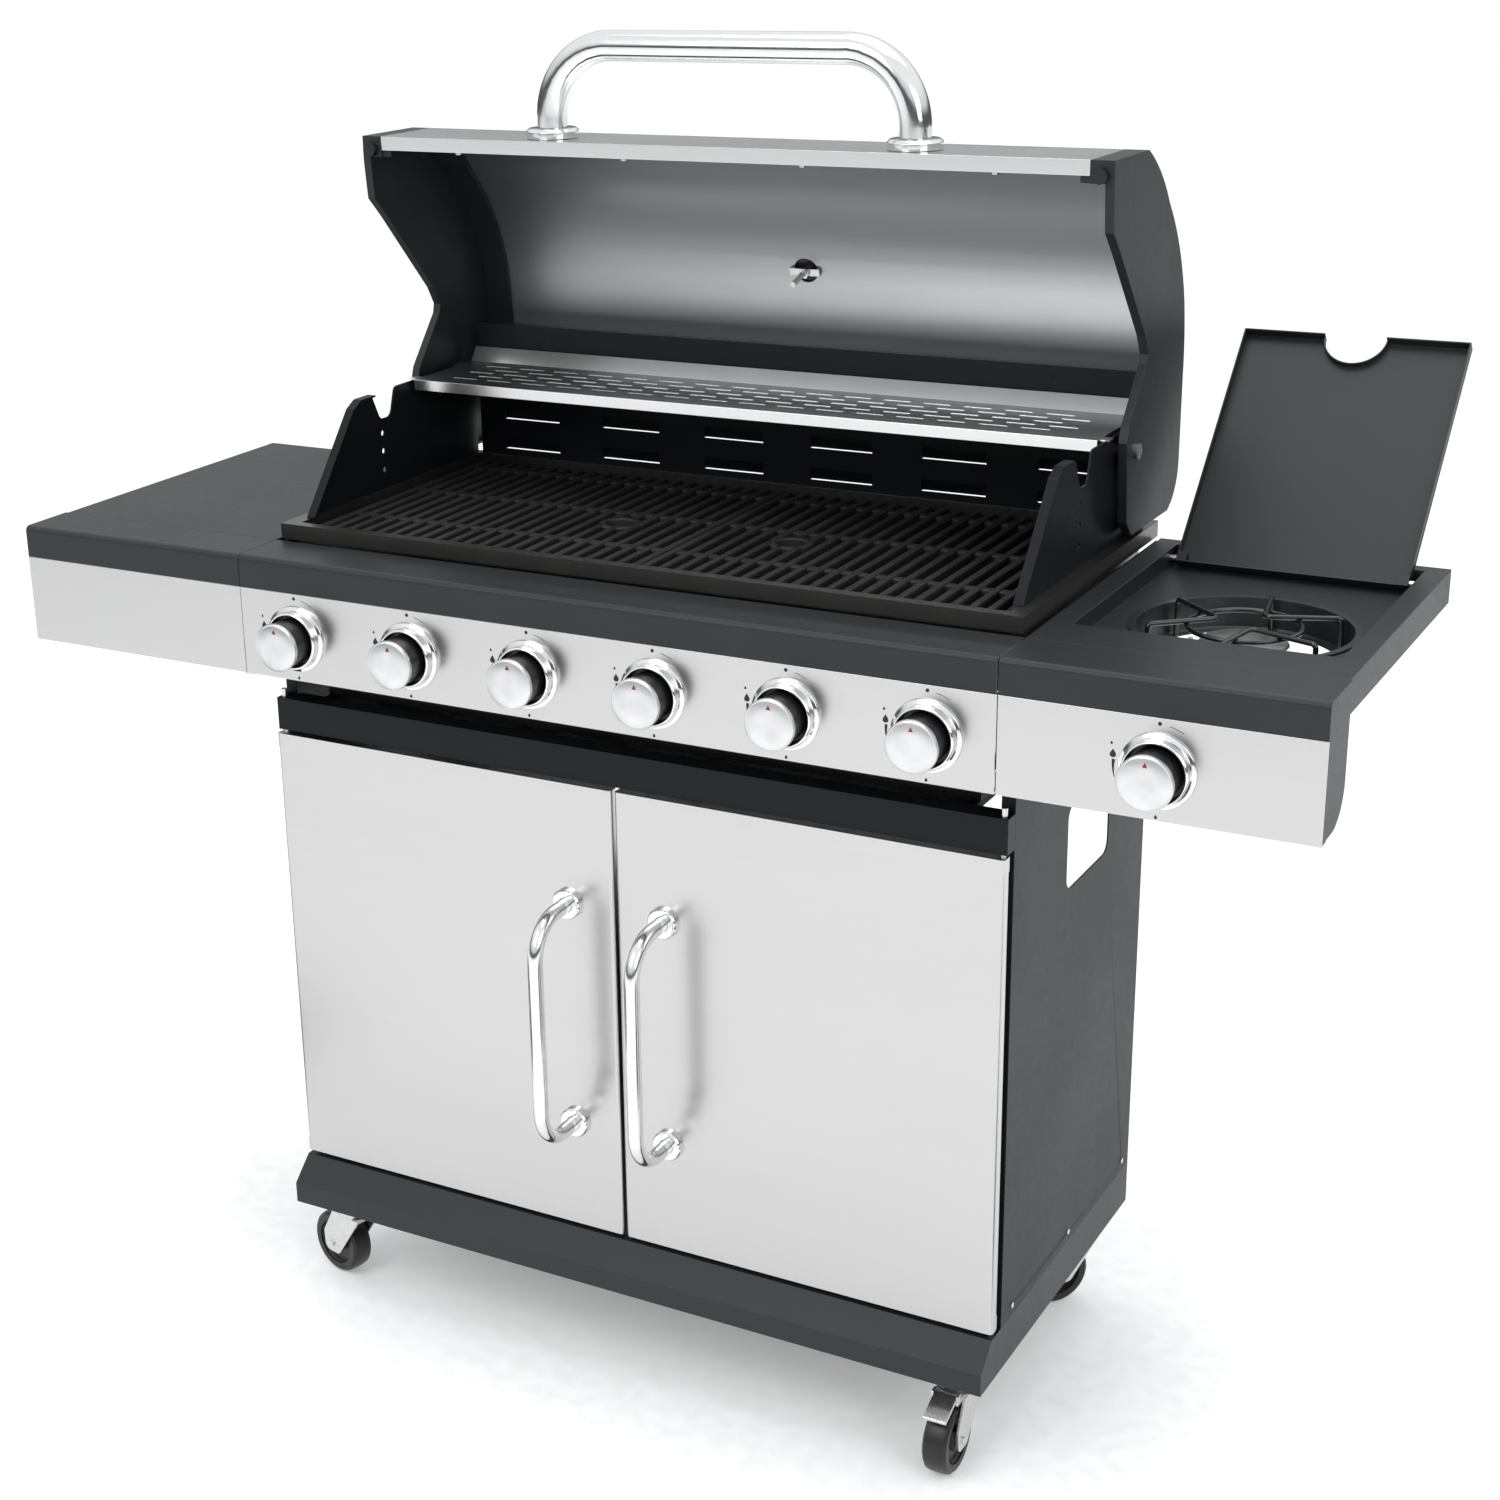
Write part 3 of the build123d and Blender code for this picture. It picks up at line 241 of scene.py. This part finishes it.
def spangled(name, tone, rough, cell):
    """Zinc plate or galvanised sheet: small crystals that differ a little in tone."""
    look = Look(name, metallic=1.0)
    crystals = look.cells((cell,) * 3)
    cloud = look.noise((40,) * 3, 4.0)
    look.colour(look.blend(look.product(crystals, 0.6), grey(tone), grey(tone * 0.8, 0.01)))
    look.rough(look.fit(cloud, 0.3, 0.7, rough - 0.06, rough + 0.1))
    look.bump(cloud, 0.08, 0.0005)
    return look.material


def satin_metal(name, tone):
    """The knobs' spun satin silver."""
    look = Look(name, metallic=1.0)
    grain = look.noise((2200,) * 3, 2.0)
    cloud = look.noise((60,) * 3, 3.0)
    look.colour(look.blend(look.fit(cloud, 0.35, 0.65, 0, 1), grey(tone), grey(tone * 0.92)))
    look.rough(look.fit(cloud, 0.3, 0.7, 0.30, 0.38))
    look.bump(grain, 0.12, 0.0002)
    return look.material


def plain(name, tint, rough, grain=900, relief=0.15):
    """Rubber, plastic or paint: one tint with a fine grain and slight clouding."""
    look = Look(name)
    fine = look.noise((grain,) * 3, 3.0)
    cloud = look.noise((50,) * 3, 4.0)
    darker = tuple(0.9 * c for c in tint[:3]) + (1.0,)
    look.colour(look.blend(look.fit(cloud, 0.35, 0.65, 0, 1), tint, darker))
    look.rough(look.fit(cloud, 0.3, 0.7, rough - 0.05, rough + 0.08))
    look.bump(fine, relief, 0.0003)
    return look.material


def clear_glass(name):
    """Clear glass with faint smears."""
    look = Look(name, ior=1.46)
    smears = look.noise((80,) * 3, 3.0)
    look.colour((0.95, 0.97, 0.98, 1.0))
    look.shader.inputs["Transmission Weight"].default_value = 1.0
    look.rough(look.fit(smears, 0.4, 0.8, 0.02, 0.08))
    return look.material


STEEL_X = brushed("brushed_steel_sheet", "X", 0.56, 0.25, 0.004, 0.03)
STEEL_BRIGHT = brushed("brushed_steel_bright", "X", 0.84, 0.22, 0.003, 0.03)
# The lid skin's inner faces keep this darker, cooler steel: painted shade inside the lid.
STEEL_LID_PAINTED_SHADE = brushed("brushed_steel_lid_painted_shade", "X", 0.46, 0.38, -0.016, 0.04)
STEEL_TUBE = brushed("burner_tube_steel", "Y", 0.42, 0.35, 0.012, 0.2)
BLACK = powder_coat("black_powder_coat", 0.0135, 0.035, 0.44)
BLACK_SHEET = powder_coat("black_powder_coat_sheet", 0.0075, 0.02, 0.40, specular=0.2)
BLACK_CAST = powder_coat("black_cast_cap", 0.0115, 0.035, 0.5, grain=900, relief=0.2)
IRON = cast_iron("cast_iron")
RAIL = enamel("fired_enamel", 0.011, 0.0012, 0.32)
GLOSS = enamel("gloss_enamel", 0.006, -0.0006, 0.14, speck=0.15)
BOWL = enamel("satin_enamel", 0.010, -0.001, 0.34, speck=0.1)
CHROME = polished("chrome", 0.86, 0.05, 0.10)
BRIGHT_TUBE = polished("bright_tube", 0.80, 0.10, 0.10)
ZINC = spangled("zinc_plate", 0.72, 0.26, 420)
GALVANISED = spangled("galvanised_sheet", 0.62, 0.34, 90)
SILVER = satin_metal("satin_silver", 0.72)
ALLOY = satin_metal("burner_alloy", 0.42)
SKIRT = plain("dark_plastic", (0.006, 0.006, 0.007, 1.0), 0.30)
RUBBER = plain("rubber", (0.006, 0.006, 0.0065, 1.0), 0.36)
HUB = plain("hub_plastic", (0.012, 0.012, 0.013, 1.0), 0.38)
BRASS = spangled("brass", 0.5, 0.3, 300)
RED = plain("pointer_red", (0.20, 0.008, 0.01, 1.0), 0.4)
PRINT = plain("black_print", (0.008, 0.008, 0.008, 1.0), 0.55)
DIAL = plain("dial_white", (0.72, 0.72, 0.70, 1.0), 0.45)
CERAMIC = plain("ceramic", (0.62, 0.60, 0.56, 1.0), 0.35)
GLASS = clear_glass("dial_glass")

NODE_LOOKS = {
    STEEL_X: ("fascia_left", "fascia_centre", "fascia_right", "door_left", "door_right", "thermometer"),
    STEEL_BRIGHT: ("warming_rack",),
    STEEL_LID_PAINTED_SHADE: ("lid_skin",),
    STEEL_TUBE: ("burners",),
    BLACK: ("left_shelf", "right_shelf", "front_trims", "side_lid", "base"),
    BLACK_SHEET: ("side_panel_left", "side_panel_right", "cabinet_rails", "rear_wall", "end_plates"),
    BLACK_CAST: ("lid_caps",),
    IRON: ("grate_left", "grate_right"),
    ALLOY: ("side_burner",),
    RAIL: ("firebox", "flame_tamers"),
    GLOSS: ("pan_support",),
    BOWL: ("burner_bowl",),
    CHROME: ("knob_bezels",),
    BRIGHT_TUBE: ("lid_handle", "door_handle_left", "door_handle_right"),
    ZINC: ("frame_fasteners", "lid_fasteners", "gas_train",
           "brake_lever_front_left", "brake_lever_front_right")
    + tuple(f"caster_fork_{spot}" for spot in CASTERS),
    GALVANISED: ("grease_tray",),
    SILVER: tuple(f"knob_{i}" for i in KNOBS),
    BRASS: tuple(f"valve_spool_{i}" for i in KNOBS),
    RUBBER: tuple(f"caster_wheel_{spot}" for spot in CASTERS),
    RED: ("thermometer_needle",),
}
ROUNDING = {   # millimetres
    "default": 0.4, "front_trims": 0.6, "base": 1.2, "side_lid": 1.0, "lid_caps": 1.2, "right_shelf": 0.6,
    "left_shelf": 1.0, "firebox": 0.7, "end_plates": 0.5, "door_left": 0.6, "door_right": 0.6,
    "knob_bezels": 0.5, "warming_rack": 0.25, "lid_skin": 0.35,
}


# ---- shapes -------------------------------------------------------------------------------------
def soften(piece, width):
    """Rounds edges sharper than 30 degrees by a width in millimetres, and shades the rest smooth."""
    weld = piece.modifiers.new("weld", "WELD")
    weld.merge_threshold = WELD_GAP
    bevel = piece.modifiers.new("rounding", "BEVEL")
    bevel.width = width * MM
    bevel.segments = 2
    bevel.angle_limit = math.radians(30)
    bevel.use_clamp_overlap = True
    bevel.miter_outer = "MITER_ARC"
    normals = piece.modifiers.new("normals", "WEIGHTED_NORMAL")
    normals.keep_sharp = True


def dress_cad_nodes():
    """Gives each CAD node its material and its rounded edges."""
    for look, names in NODE_LOOKS.items():
        for name in names:
            piece = frame["nodes"][name]
            piece.data.materials.clear()
            piece.data.materials.append(look)
            soften(piece, ROUNDING.get(name, ROUNDING["default"]))


def paint(name, look, chosen):
    """Gives a second material to the faces of a CAD node whose middle passes a test."""
    mesh = frame["nodes"][name].data
    mesh.materials.append(look)
    slot = len(mesh.materials) - 1
    for face in mesh.polygons:
        if chosen(face.center, face.normal):
            face.material_index = slot


def piece_from(name, builder, look, body, place=Matrix.Identity(4), rounding=None, replaced=()):
    """Makes a mesh piece with bmesh code, puts it in place and ties it to its CAD body."""
    work = bmesh.new()
    builder(work)
    bmesh.ops.recalc_face_normals(work, faces=work.faces)
    mesh = bpy.data.meshes.new(name)
    work.to_mesh(mesh)
    work.free()
    mesh.transform(place)
    mesh.materials.append(look)
    piece = bpy.data.objects.new(name, mesh)
    bpy.context.scene.collection.objects.link(piece)
    mesh.shade_smooth()
    mesh.set_sharp_from_angle(angle=math.radians(SMOOTH_ANGLE))
    if rounding:
        soften(piece, rounding)
    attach(piece, body)
    if replaced:
        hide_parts(*replaced)
    return piece


def turned(profile, steps=72):
    """A closed (radius, height) outline in millimetres, turned about Z."""
    def build(work):
        rings = []
        for r, z in profile:
            count = steps if r > 0 else 1
            turn = [2 * math.pi * k / steps for k in range(count)]
            rings.append([work.verts.new((r * math.cos(a) * MM, r * math.sin(a) * MM, z * MM)) for a in turn])
        for lower, upper in zip(rings, rings[1:] + rings[:1]):
            if len(lower) == 1 and len(upper) == 1:
                continue
            for k in range(steps):
                near = [lower[k % len(lower)], lower[(k + 1) % len(lower)]]
                far = [upper[(k + 1) % len(upper)], upper[k % len(upper)]]
                corners = list(dict.fromkeys(near + far))
                work.faces.new(corners)
    return build


def stack(work, rings):
    """Joins closed rings of points, one above the other, and closes both ends."""
    made = [[work.verts.new(p) for p in ring] for ring in rings]
    for lower, upper in zip(made, made[1:]):
        for k in range(len(lower)):
            following = (k + 1) % len(lower)
            work.faces.new((lower[k], lower[following], upper[following], upper[k]))
    work.faces.new(list(reversed(made[0])))
    work.faces.new(made[-1])


def stadium(start, end, half, z):
    """A ring of points around a line from start to end, with round ends."""
    a, b = Vector(start), Vector(end)
    heading = math.atan2(b.y - a.y, b.x - a.x)
    ring = []
    for centre, first in ((b, -90), (a, 90)):
        for step in range(7):
            turn = heading + math.radians(first + 30 * step)
            ring.append((centre.x + half * math.cos(turn), centre.y + half * math.sin(turn), z))
    return ring


def cast_bar(work, start, end, z0, z1, half_low, half_high):
    """A cast bar: narrower at the bottom, with rounded top edges and round ends."""
    levels = ((z0, half_low), (z1 - 2.2 * MM, half_high), (z1 - 0.8 * MM, half_high - 0.35 * MM),
              (z1 - 0.2 * MM, half_high - 1.0 * MM), (z1, half_high - 1.9 * MM))
    stack(work, [stadium(start, end, half, z) for z, half in levels])


def plate(work, outline, depth):
    """A flat plate from an outline in millimetres, standing on Z = 0."""
    stack(work, [[(x * MM, y * MM, z * MM) for x, y in outline] for z in (0.0, depth)])


# ---- cooking grates -----------------------------------------------------------------------------
def cooking_grates():
    """Free-tipped bars running front to back over three cross ribs, with a ring to lift each grate by."""
    bars, half = 22, 4.3 * MM
    for name in ("grate_left", "grate_right"):
        low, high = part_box(name)
        side = 1 if low.x > 0 else -1
        ring_at = Vector((side * 0.1, low.y + 0.157))
        inner, outer = 15 * MM, 23 * MM
        y0, y1 = low.y + half, high.y - half
        ribs = [low.y + offset for offset in (0.084, 0.202, 0.319)]

        def build(work):
            pitch = (high.x - low.x - 2 * half) / (bars - 1)
            for i in range(bars):
                x = low.x + half + i * pitch
                reach = outer**2 - (x - ring_at.x)**2
                if reach > 0:
                    gap = math.sqrt(reach) - 2 * MM
                    spans = ((y0, ring_at.y - gap), (ring_at.y + gap, y1))
                else:
                    spans = ((y0, y1),)
                for start, end in spans:
                    cast_bar(work, (x, start), (x, end), low.z, high.z, 2.6 * MM, half)
            for y in ribs:
                width = 5.5 * MM
                cast_bar(work, (low.x + width, y), (high.x - width, y), low.z, high.z - 1.2 * MM,
                         4 * MM, width)
            for y in (low.y + 12 * MM, high.y - 8 * MM):
                cast_bar(work, (low.x + 4 * MM, y), (high.x - 4 * MM, y), low.z, high.z - 4 * MM,
                         3 * MM, 4 * MM)
            lift_ring(work, ring_at, inner, outer, low.z, high.z)

        piece_from(f"{name}_casting", build, IRON, name, replaced=(name,))


def lift_ring(work, at, inner, outer, z0, z1):
    """The ring cast into a grate, with eased top edges."""
    profile = [(inner, z0), (outer, z0), (outer, z1 - 1.5 * MM), (outer - 1.5 * MM, z1),
               (inner + 1.5 * MM, z1), (inner, z1 - 1.5 * MM)]
    steps = 40
    rings = []
    for k in range(steps):
        turn = 2 * math.pi * k / steps
        across, along = math.cos(turn), math.sin(turn)
        rings.append([work.verts.new((at.x + r * across, at.y + r * along, z)) for r, z in profile])
    for near, far in zip(rings, rings[1:] + rings[:1]):
        for k in range(len(profile)):
            following = (k + 1) % len(profile)
            work.faces.new((near[k], near[following], far[following], far[k]))


# ---- knobs and the marks around them ------------------------------------------------------------
SKIRT_PROFILE = [(0, 8), (23.0, 8), (24.2, 9), (24.0, 30.5), (24.6, 32.6), (0, 32.6)]
FACE_PROFILE = [(0, 32.2), (24.9, 32.2), (25.6, 32.9), (25.6, 35.4), (25.2, 36.3), (24.3, 36.8), (23.6, 36.7),
                (23.2, 36.9), (12, 37.3), (0, 37.4)]


def knobs():
    """Each knob is a dark skirt, a satin face and a raised red pointer."""
    for i in KNOBS:
        body = f"knob_{i}"
        low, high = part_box(body)
        centre = Vector(((low.x + high.x) / 2, high.y + 8 * MM, (low.z + high.z) / 2))
        place = Matrix.Translation(centre) @ FACING_COOK
        piece_from(f"knob_skirt_{i}", turned(SKIRT_PROFILE), SKIRT, body, place, replaced=(body,))
        piece_from(f"knob_face_{i}", turned(FACE_PROFILE), SILVER, body, place)
        arrow = [(-2.3, 15.2), (2.3, 15.2), (0, 19.8)]
        proud = Matrix.Translation((0, 0, 36.95 * MM))
        piece_from(f"knob_pointer_{i}", lambda work: plate(work, arrow, 0.5), RED, body, place @ proud)


def drop_outline(x, y, size):
    """A flame-shaped drop."""
    outline = []
    for step in range(24):
        turn = 2 * math.pi * step / 24
        width = 0.5 * math.sin(turn) * math.sin(turn / 2)**1.4
        outline.append((x + size * width, y + size * 0.5 * math.cos(turn)))
    return outline


def disc_outline(x, y, radius, steps=24):
    turns = [2 * math.pi * k / steps for k in range(steps)]
    return [(x + radius * math.cos(a), y + radius * math.sin(a)) for a in turns]


def tapered_arc(radius, first, last, thick, thin, steps=16):
    """A curved wedge around the knob, from thick to thin."""
    outer, inner = [], []
    for k in range(steps + 1):
        share = k / steps
        turn = math.radians(first + (last - first) * share)
        half = (thick + (thin - thick) * share) / 2
        for edge, line in ((half, outer), (-half, inner)):
            line.append(((radius + edge) * math.cos(turn), (radius + edge) * math.sin(turn)))
    return outer + inner[::-1]


def fascia_marks():
    """A dot for off, a large flame with a tapering arc, and a small flame; there is no lettering."""
    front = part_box("fascia_centre")[0].y
    for i in KNOBS:
        low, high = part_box(f"knob_{i}")
        place = Matrix.Translation(((low.x + high.x) / 2, front, (low.z + high.z) / 2)) @ FACING_COOK

        def build(work):
            for outline in (disc_outline(0, 43, 1.8), drop_outline(-40.5, 10.5, 8.0),
                            drop_outline(0, -42.3, 4.0), tapered_arc(40.0, 173, 197, 3.0, 0.5),
                            tapered_arc(42.5, 60, 78, 0.5, 0.5), drop_outline(-42, 20, 3.2)):
                plate(work, outline, 0.12)

        piece_from(f"fascia_marks_{i}", build, PRINT, "frame", place)


# ---- castors ------------------------------------------------------------------------------------
TYRE_PROFILE = [(26.5, -12.6), (33.5, -13), (36.6, -10.5), (37.5, -6), (37.5, 6), (36.6, 10.5), (33.5, 13),
                (26.5, 12.6)]
HUB_PROFILE = [(4.05, -12), (12.5, -12), (13.5, -9), (25, -8), (27, -11.5), (27, 11.5), (25, 8), (13.5, 9),
               (12.5, 12), (4.05, 12)]


def caster_wheels():
    """A tyre and a hub on each axle, which is where the wheel's joint is."""
    for joint in frame["joints"]:
        if not joint["name"].endswith("_roll"):
            continue
        spot = joint["child"].removeprefix("wheel_")
        axle = Vector(joint["axis"])
        place = Matrix.Translation(joint["pos_m"]) @ axle.to_track_quat("Z", "Y").to_matrix().to_4x4()
        node = f"caster_wheel_{spot}"
        piece_from(f"tyre_{spot}", turned(TYRE_PROFILE), RUBBER, joint["child"], place, replaced=(node,))
        piece_from(f"hub_{spot}", turned(HUB_PROFILE), HUB, joint["child"], place)


# ---- thermometer --------------------------------------------------------------------------------
def thermometer_dial():
    """A white dial with tick marks, and its glass."""
    joint = next(j for j in frame["joints"] if j["name"] == "thermometer_dial")
    out = Vector(joint["axis"])
    place = Matrix.Translation(joint["pos_m"]) @ out.to_track_quat("Z", "Y").to_matrix().to_4x4()
    dial = [(1.6, 8.1), (29.8, 8.1), (29.8, 8.6), (1.6, 8.6)]
    piece_from("dial_plate", turned(dial), DIAL, "lid", place)

    def ticks(work):
        for k in range(31):
            turn = math.radians(-120 + 8 * k)
            length = 5.0 if k % 5 == 0 else 2.8
            turned_by = Matrix.Rotation(turn, 2)
            corners = ((-0.35, 27.5 - length), (0.35, 27.5 - length), (0.35, 27.5), (-0.35, 27.5))
            plate(work, [tuple(turned_by @ Vector(c)) for c in corners], 0.15)

    piece_from("dial_ticks", ticks, PRINT, "lid", place @ Matrix.Translation((0, 0, 8.6 * MM)))
    glass = [(0, 12.6), (29.9, 12.6), (29.9, 13.6), (0, 13.8)]
    piece_from("dial_glass", turned(glass), GLASS, "lid", place)


# ---- the studio ---------------------------------------------------------------------------------
def surroundings():
    """A white tent: plain white to the camera, darker near the horizon in reflections."""
    world = bpy.data.worlds.new("studio")
    bpy.context.scene.world = world
    world.use_nodes = True
    tree = world.node_tree
    background = tree.nodes["Background"]
    direction = tree.nodes.new("ShaderNodeTexCoord")
    parts = tree.nodes.new("ShaderNodeSeparateXYZ")
    tree.links.new(direction.outputs["Generated"], parts.inputs["Vector"])
    ramp = tree.nodes.new("ShaderNodeValToRGB")
    stops = ((0.0, 0.10), (0.10, 0.12), (0.22, 0.75), (0.5, 1.05), (1.0, 1.0))
    ramp.color_ramp.elements.remove(ramp.color_ramp.elements[1])
    for k, (place, level) in enumerate(stops):
        stop = ramp.color_ramp.elements[0] if k == 0 else ramp.color_ramp.elements.new(place)
        stop.position = place
        stop.color = (level * 0.97, level * 0.985, level, 1.0)
    tree.links.new(parts.outputs["Z"], ramp.inputs["Fac"])
    seen = tree.nodes.new("ShaderNodeLightPath")
    mix = tree.nodes.new("ShaderNodeMix")
    mix.data_type = "RGBA"
    mix.inputs["B"].default_value = (1.0, 1.0, 1.0, 1.0)
    tree.links.new(seen.outputs["Is Camera Ray"], mix.inputs["Factor"])
    tree.links.new(ramp.outputs["Color"], mix.inputs["A"])
    tree.links.new(mix.outputs["Result"], background.inputs["Color"])
    background.inputs["Strength"].default_value = 1.0


def sheet(name, look, x0, x1, y0, y1, z):
    """A flat sheet lying in the studio."""
    mesh = bpy.data.meshes.new(name)
    mesh.from_pydata([(x0, y0, z), (x1, y0, z), (x1, y1, z), (x0, y1, z)], [], [(0, 1, 2, 3)])
    mesh.materials.append(look)
    piece = bpy.data.objects.new(name, mesh)
    bpy.context.scene.collection.objects.link(piece)
    return piece


def studio():
    """A pale floor, three soft boxes, and two dark flags that only reflections see."""
    surroundings()
    bpy.context.scene.view_settings.view_transform = "Standard"
    pale = plain("studio_floor", (0.90, 0.90, 0.90, 1.0), 0.8, 3, 0.0)
    glow = pale.node_tree.nodes["Principled BSDF"].inputs
    glow["Emission Color"].default_value = (1.0, 1.0, 1.0, 1.0)
    glow["Emission Strength"].default_value = 0.22
    sheet("floor", pale, -14, 14, -14, 14, -0.0005)
    flag = plain("studio_flag", (0.02, 0.02, 0.02, 1.0), 0.9)
    for k, (x0, x1, y0, y1) in enumerate(((-2.4, -0.8, -0.75, -0.25), (0.75, 2.2, -0.62, -0.3))):
        card = sheet(f"flag_{k}", flag, x0, x1, y0, y1, 0.0005)
        card.visible_camera = card.visible_diffuse = card.visible_shadow = False

    soft_boxes = {   # place, aimed at, size, watts
        "key": ((-0.9, -3.2, 3.2), (0, 0, 0.8), 2.0, 40),
        "fill": ((3.2, -1.8, 2.2), (0.3, 0, 0.7), 1.8, 22),
        "top": ((0.2, 0.4, 4.2), (0, 0, 0.8), 3.0, 50),
    }
    for name, (spot, target, size, power) in soft_boxes.items():
        light = bpy.data.lights.new(name, "AREA")
        light.size = size
        light.energy = power
        lamp = bpy.data.objects.new(name, light)
        lamp.location = spot
        lamp.rotation_euler = (Vector(target) - Vector(spot)).to_track_quat("-Z", "Y").to_euler()
        bpy.context.scene.collection.objects.link(lamp)


def camera():
    """The view of the picture: from the front right, a little above."""
    azimuth, elevation, roll = (math.radians(a) for a in (30.78, 19.76, -1.81))
    back = Vector((math.sin(azimuth) * math.cos(elevation), -math.cos(azimuth) * math.cos(elevation),
                   math.sin(elevation)))
    right = Vector((0, 0, 1)).cross(back).normalized()
    up = back.cross(right)
    turned_right = right * math.cos(roll) + up * math.sin(roll)
    turned_up = up * math.cos(roll) - right * math.sin(roll)
    data = bpy.data.cameras.new("camera")
    data.sensor_width = 36.0
    data.lens = 60.1
    data.shift_x, data.shift_y = 0.1028, 0.0019
    eye = bpy.data.objects.new("camera", data)
    turn = Matrix((turned_right, turned_up, back)).transposed().to_4x4()
    eye.matrix_world = Matrix.Translation((1.1855, -2.2645, 1.554)) @ turn
    bpy.context.scene.collection.objects.link(eye)
    bpy.context.scene.camera = eye


def colour_cad_details():
    """Second materials on parts of a CAD node."""
    lid_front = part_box("lid_fasteners")[0].y
    paint("lid_fasteners", RUBBER, lambda at, normal: at.y < lid_front + 8 * MM and abs(at.x) > 0.39)
    electrode_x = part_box("side_burner")[0].x + 8 * MM
    paint("side_burner", CERAMIC, lambda at, normal: at.x < electrode_x and at.z > 0.8345)
    wall_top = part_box("rear_wall")[1].z
    paint("frame_fasteners", BLACK_SHEET, lambda at, normal: at.z > wall_top - 30 * MM)
    axles = [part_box(f"knob_{i}") for i in KNOBS]
    spots = [((low.x + high.x) / 2, (low.z + high.z) / 2) for low, high in axles]
    # The bezel faces inside this radius, the recess around each knob skirt, get the dark plastic: painted
    # shade in the gap between bezel and knob.
    bezel_shade_radius = 27.9 * MM
    paint("knob_bezels", SKIRT,
          lambda at, normal: min(math.hypot(at.x - x, at.z - z) for x, z in spots) < bezel_shade_radius)
    inside = Vector((0, 0.06, 1.12))   # a point under the lid, which its outer faces look away from
    # Outer faces get the bright steel and the inner faces keep the darker lid steel, which is painted shade
    # inside the lid.
    paint("lid_skin", STEEL_BRIGHT,
          lambda at, normal: normal.y * (inside.y - at.y) + normal.z * (inside.z - at.z) < 0)
    dial = next(j for j in frame["joints"] if j["name"] == "thermometer_dial")
    out, centre = Vector(dial["axis"]), Vector(dial["pos_m"])
    paint("thermometer", RUBBER,
          lambda at, normal: (at - centre).dot(out) > 0.8 * MM and normal.dot(out) < -0.3)


dress_cad_nodes()
colour_cad_details()
cooking_grates()
knobs()
fascia_marks()
caster_wheels()
thermometer_dial()
studio()
camera()
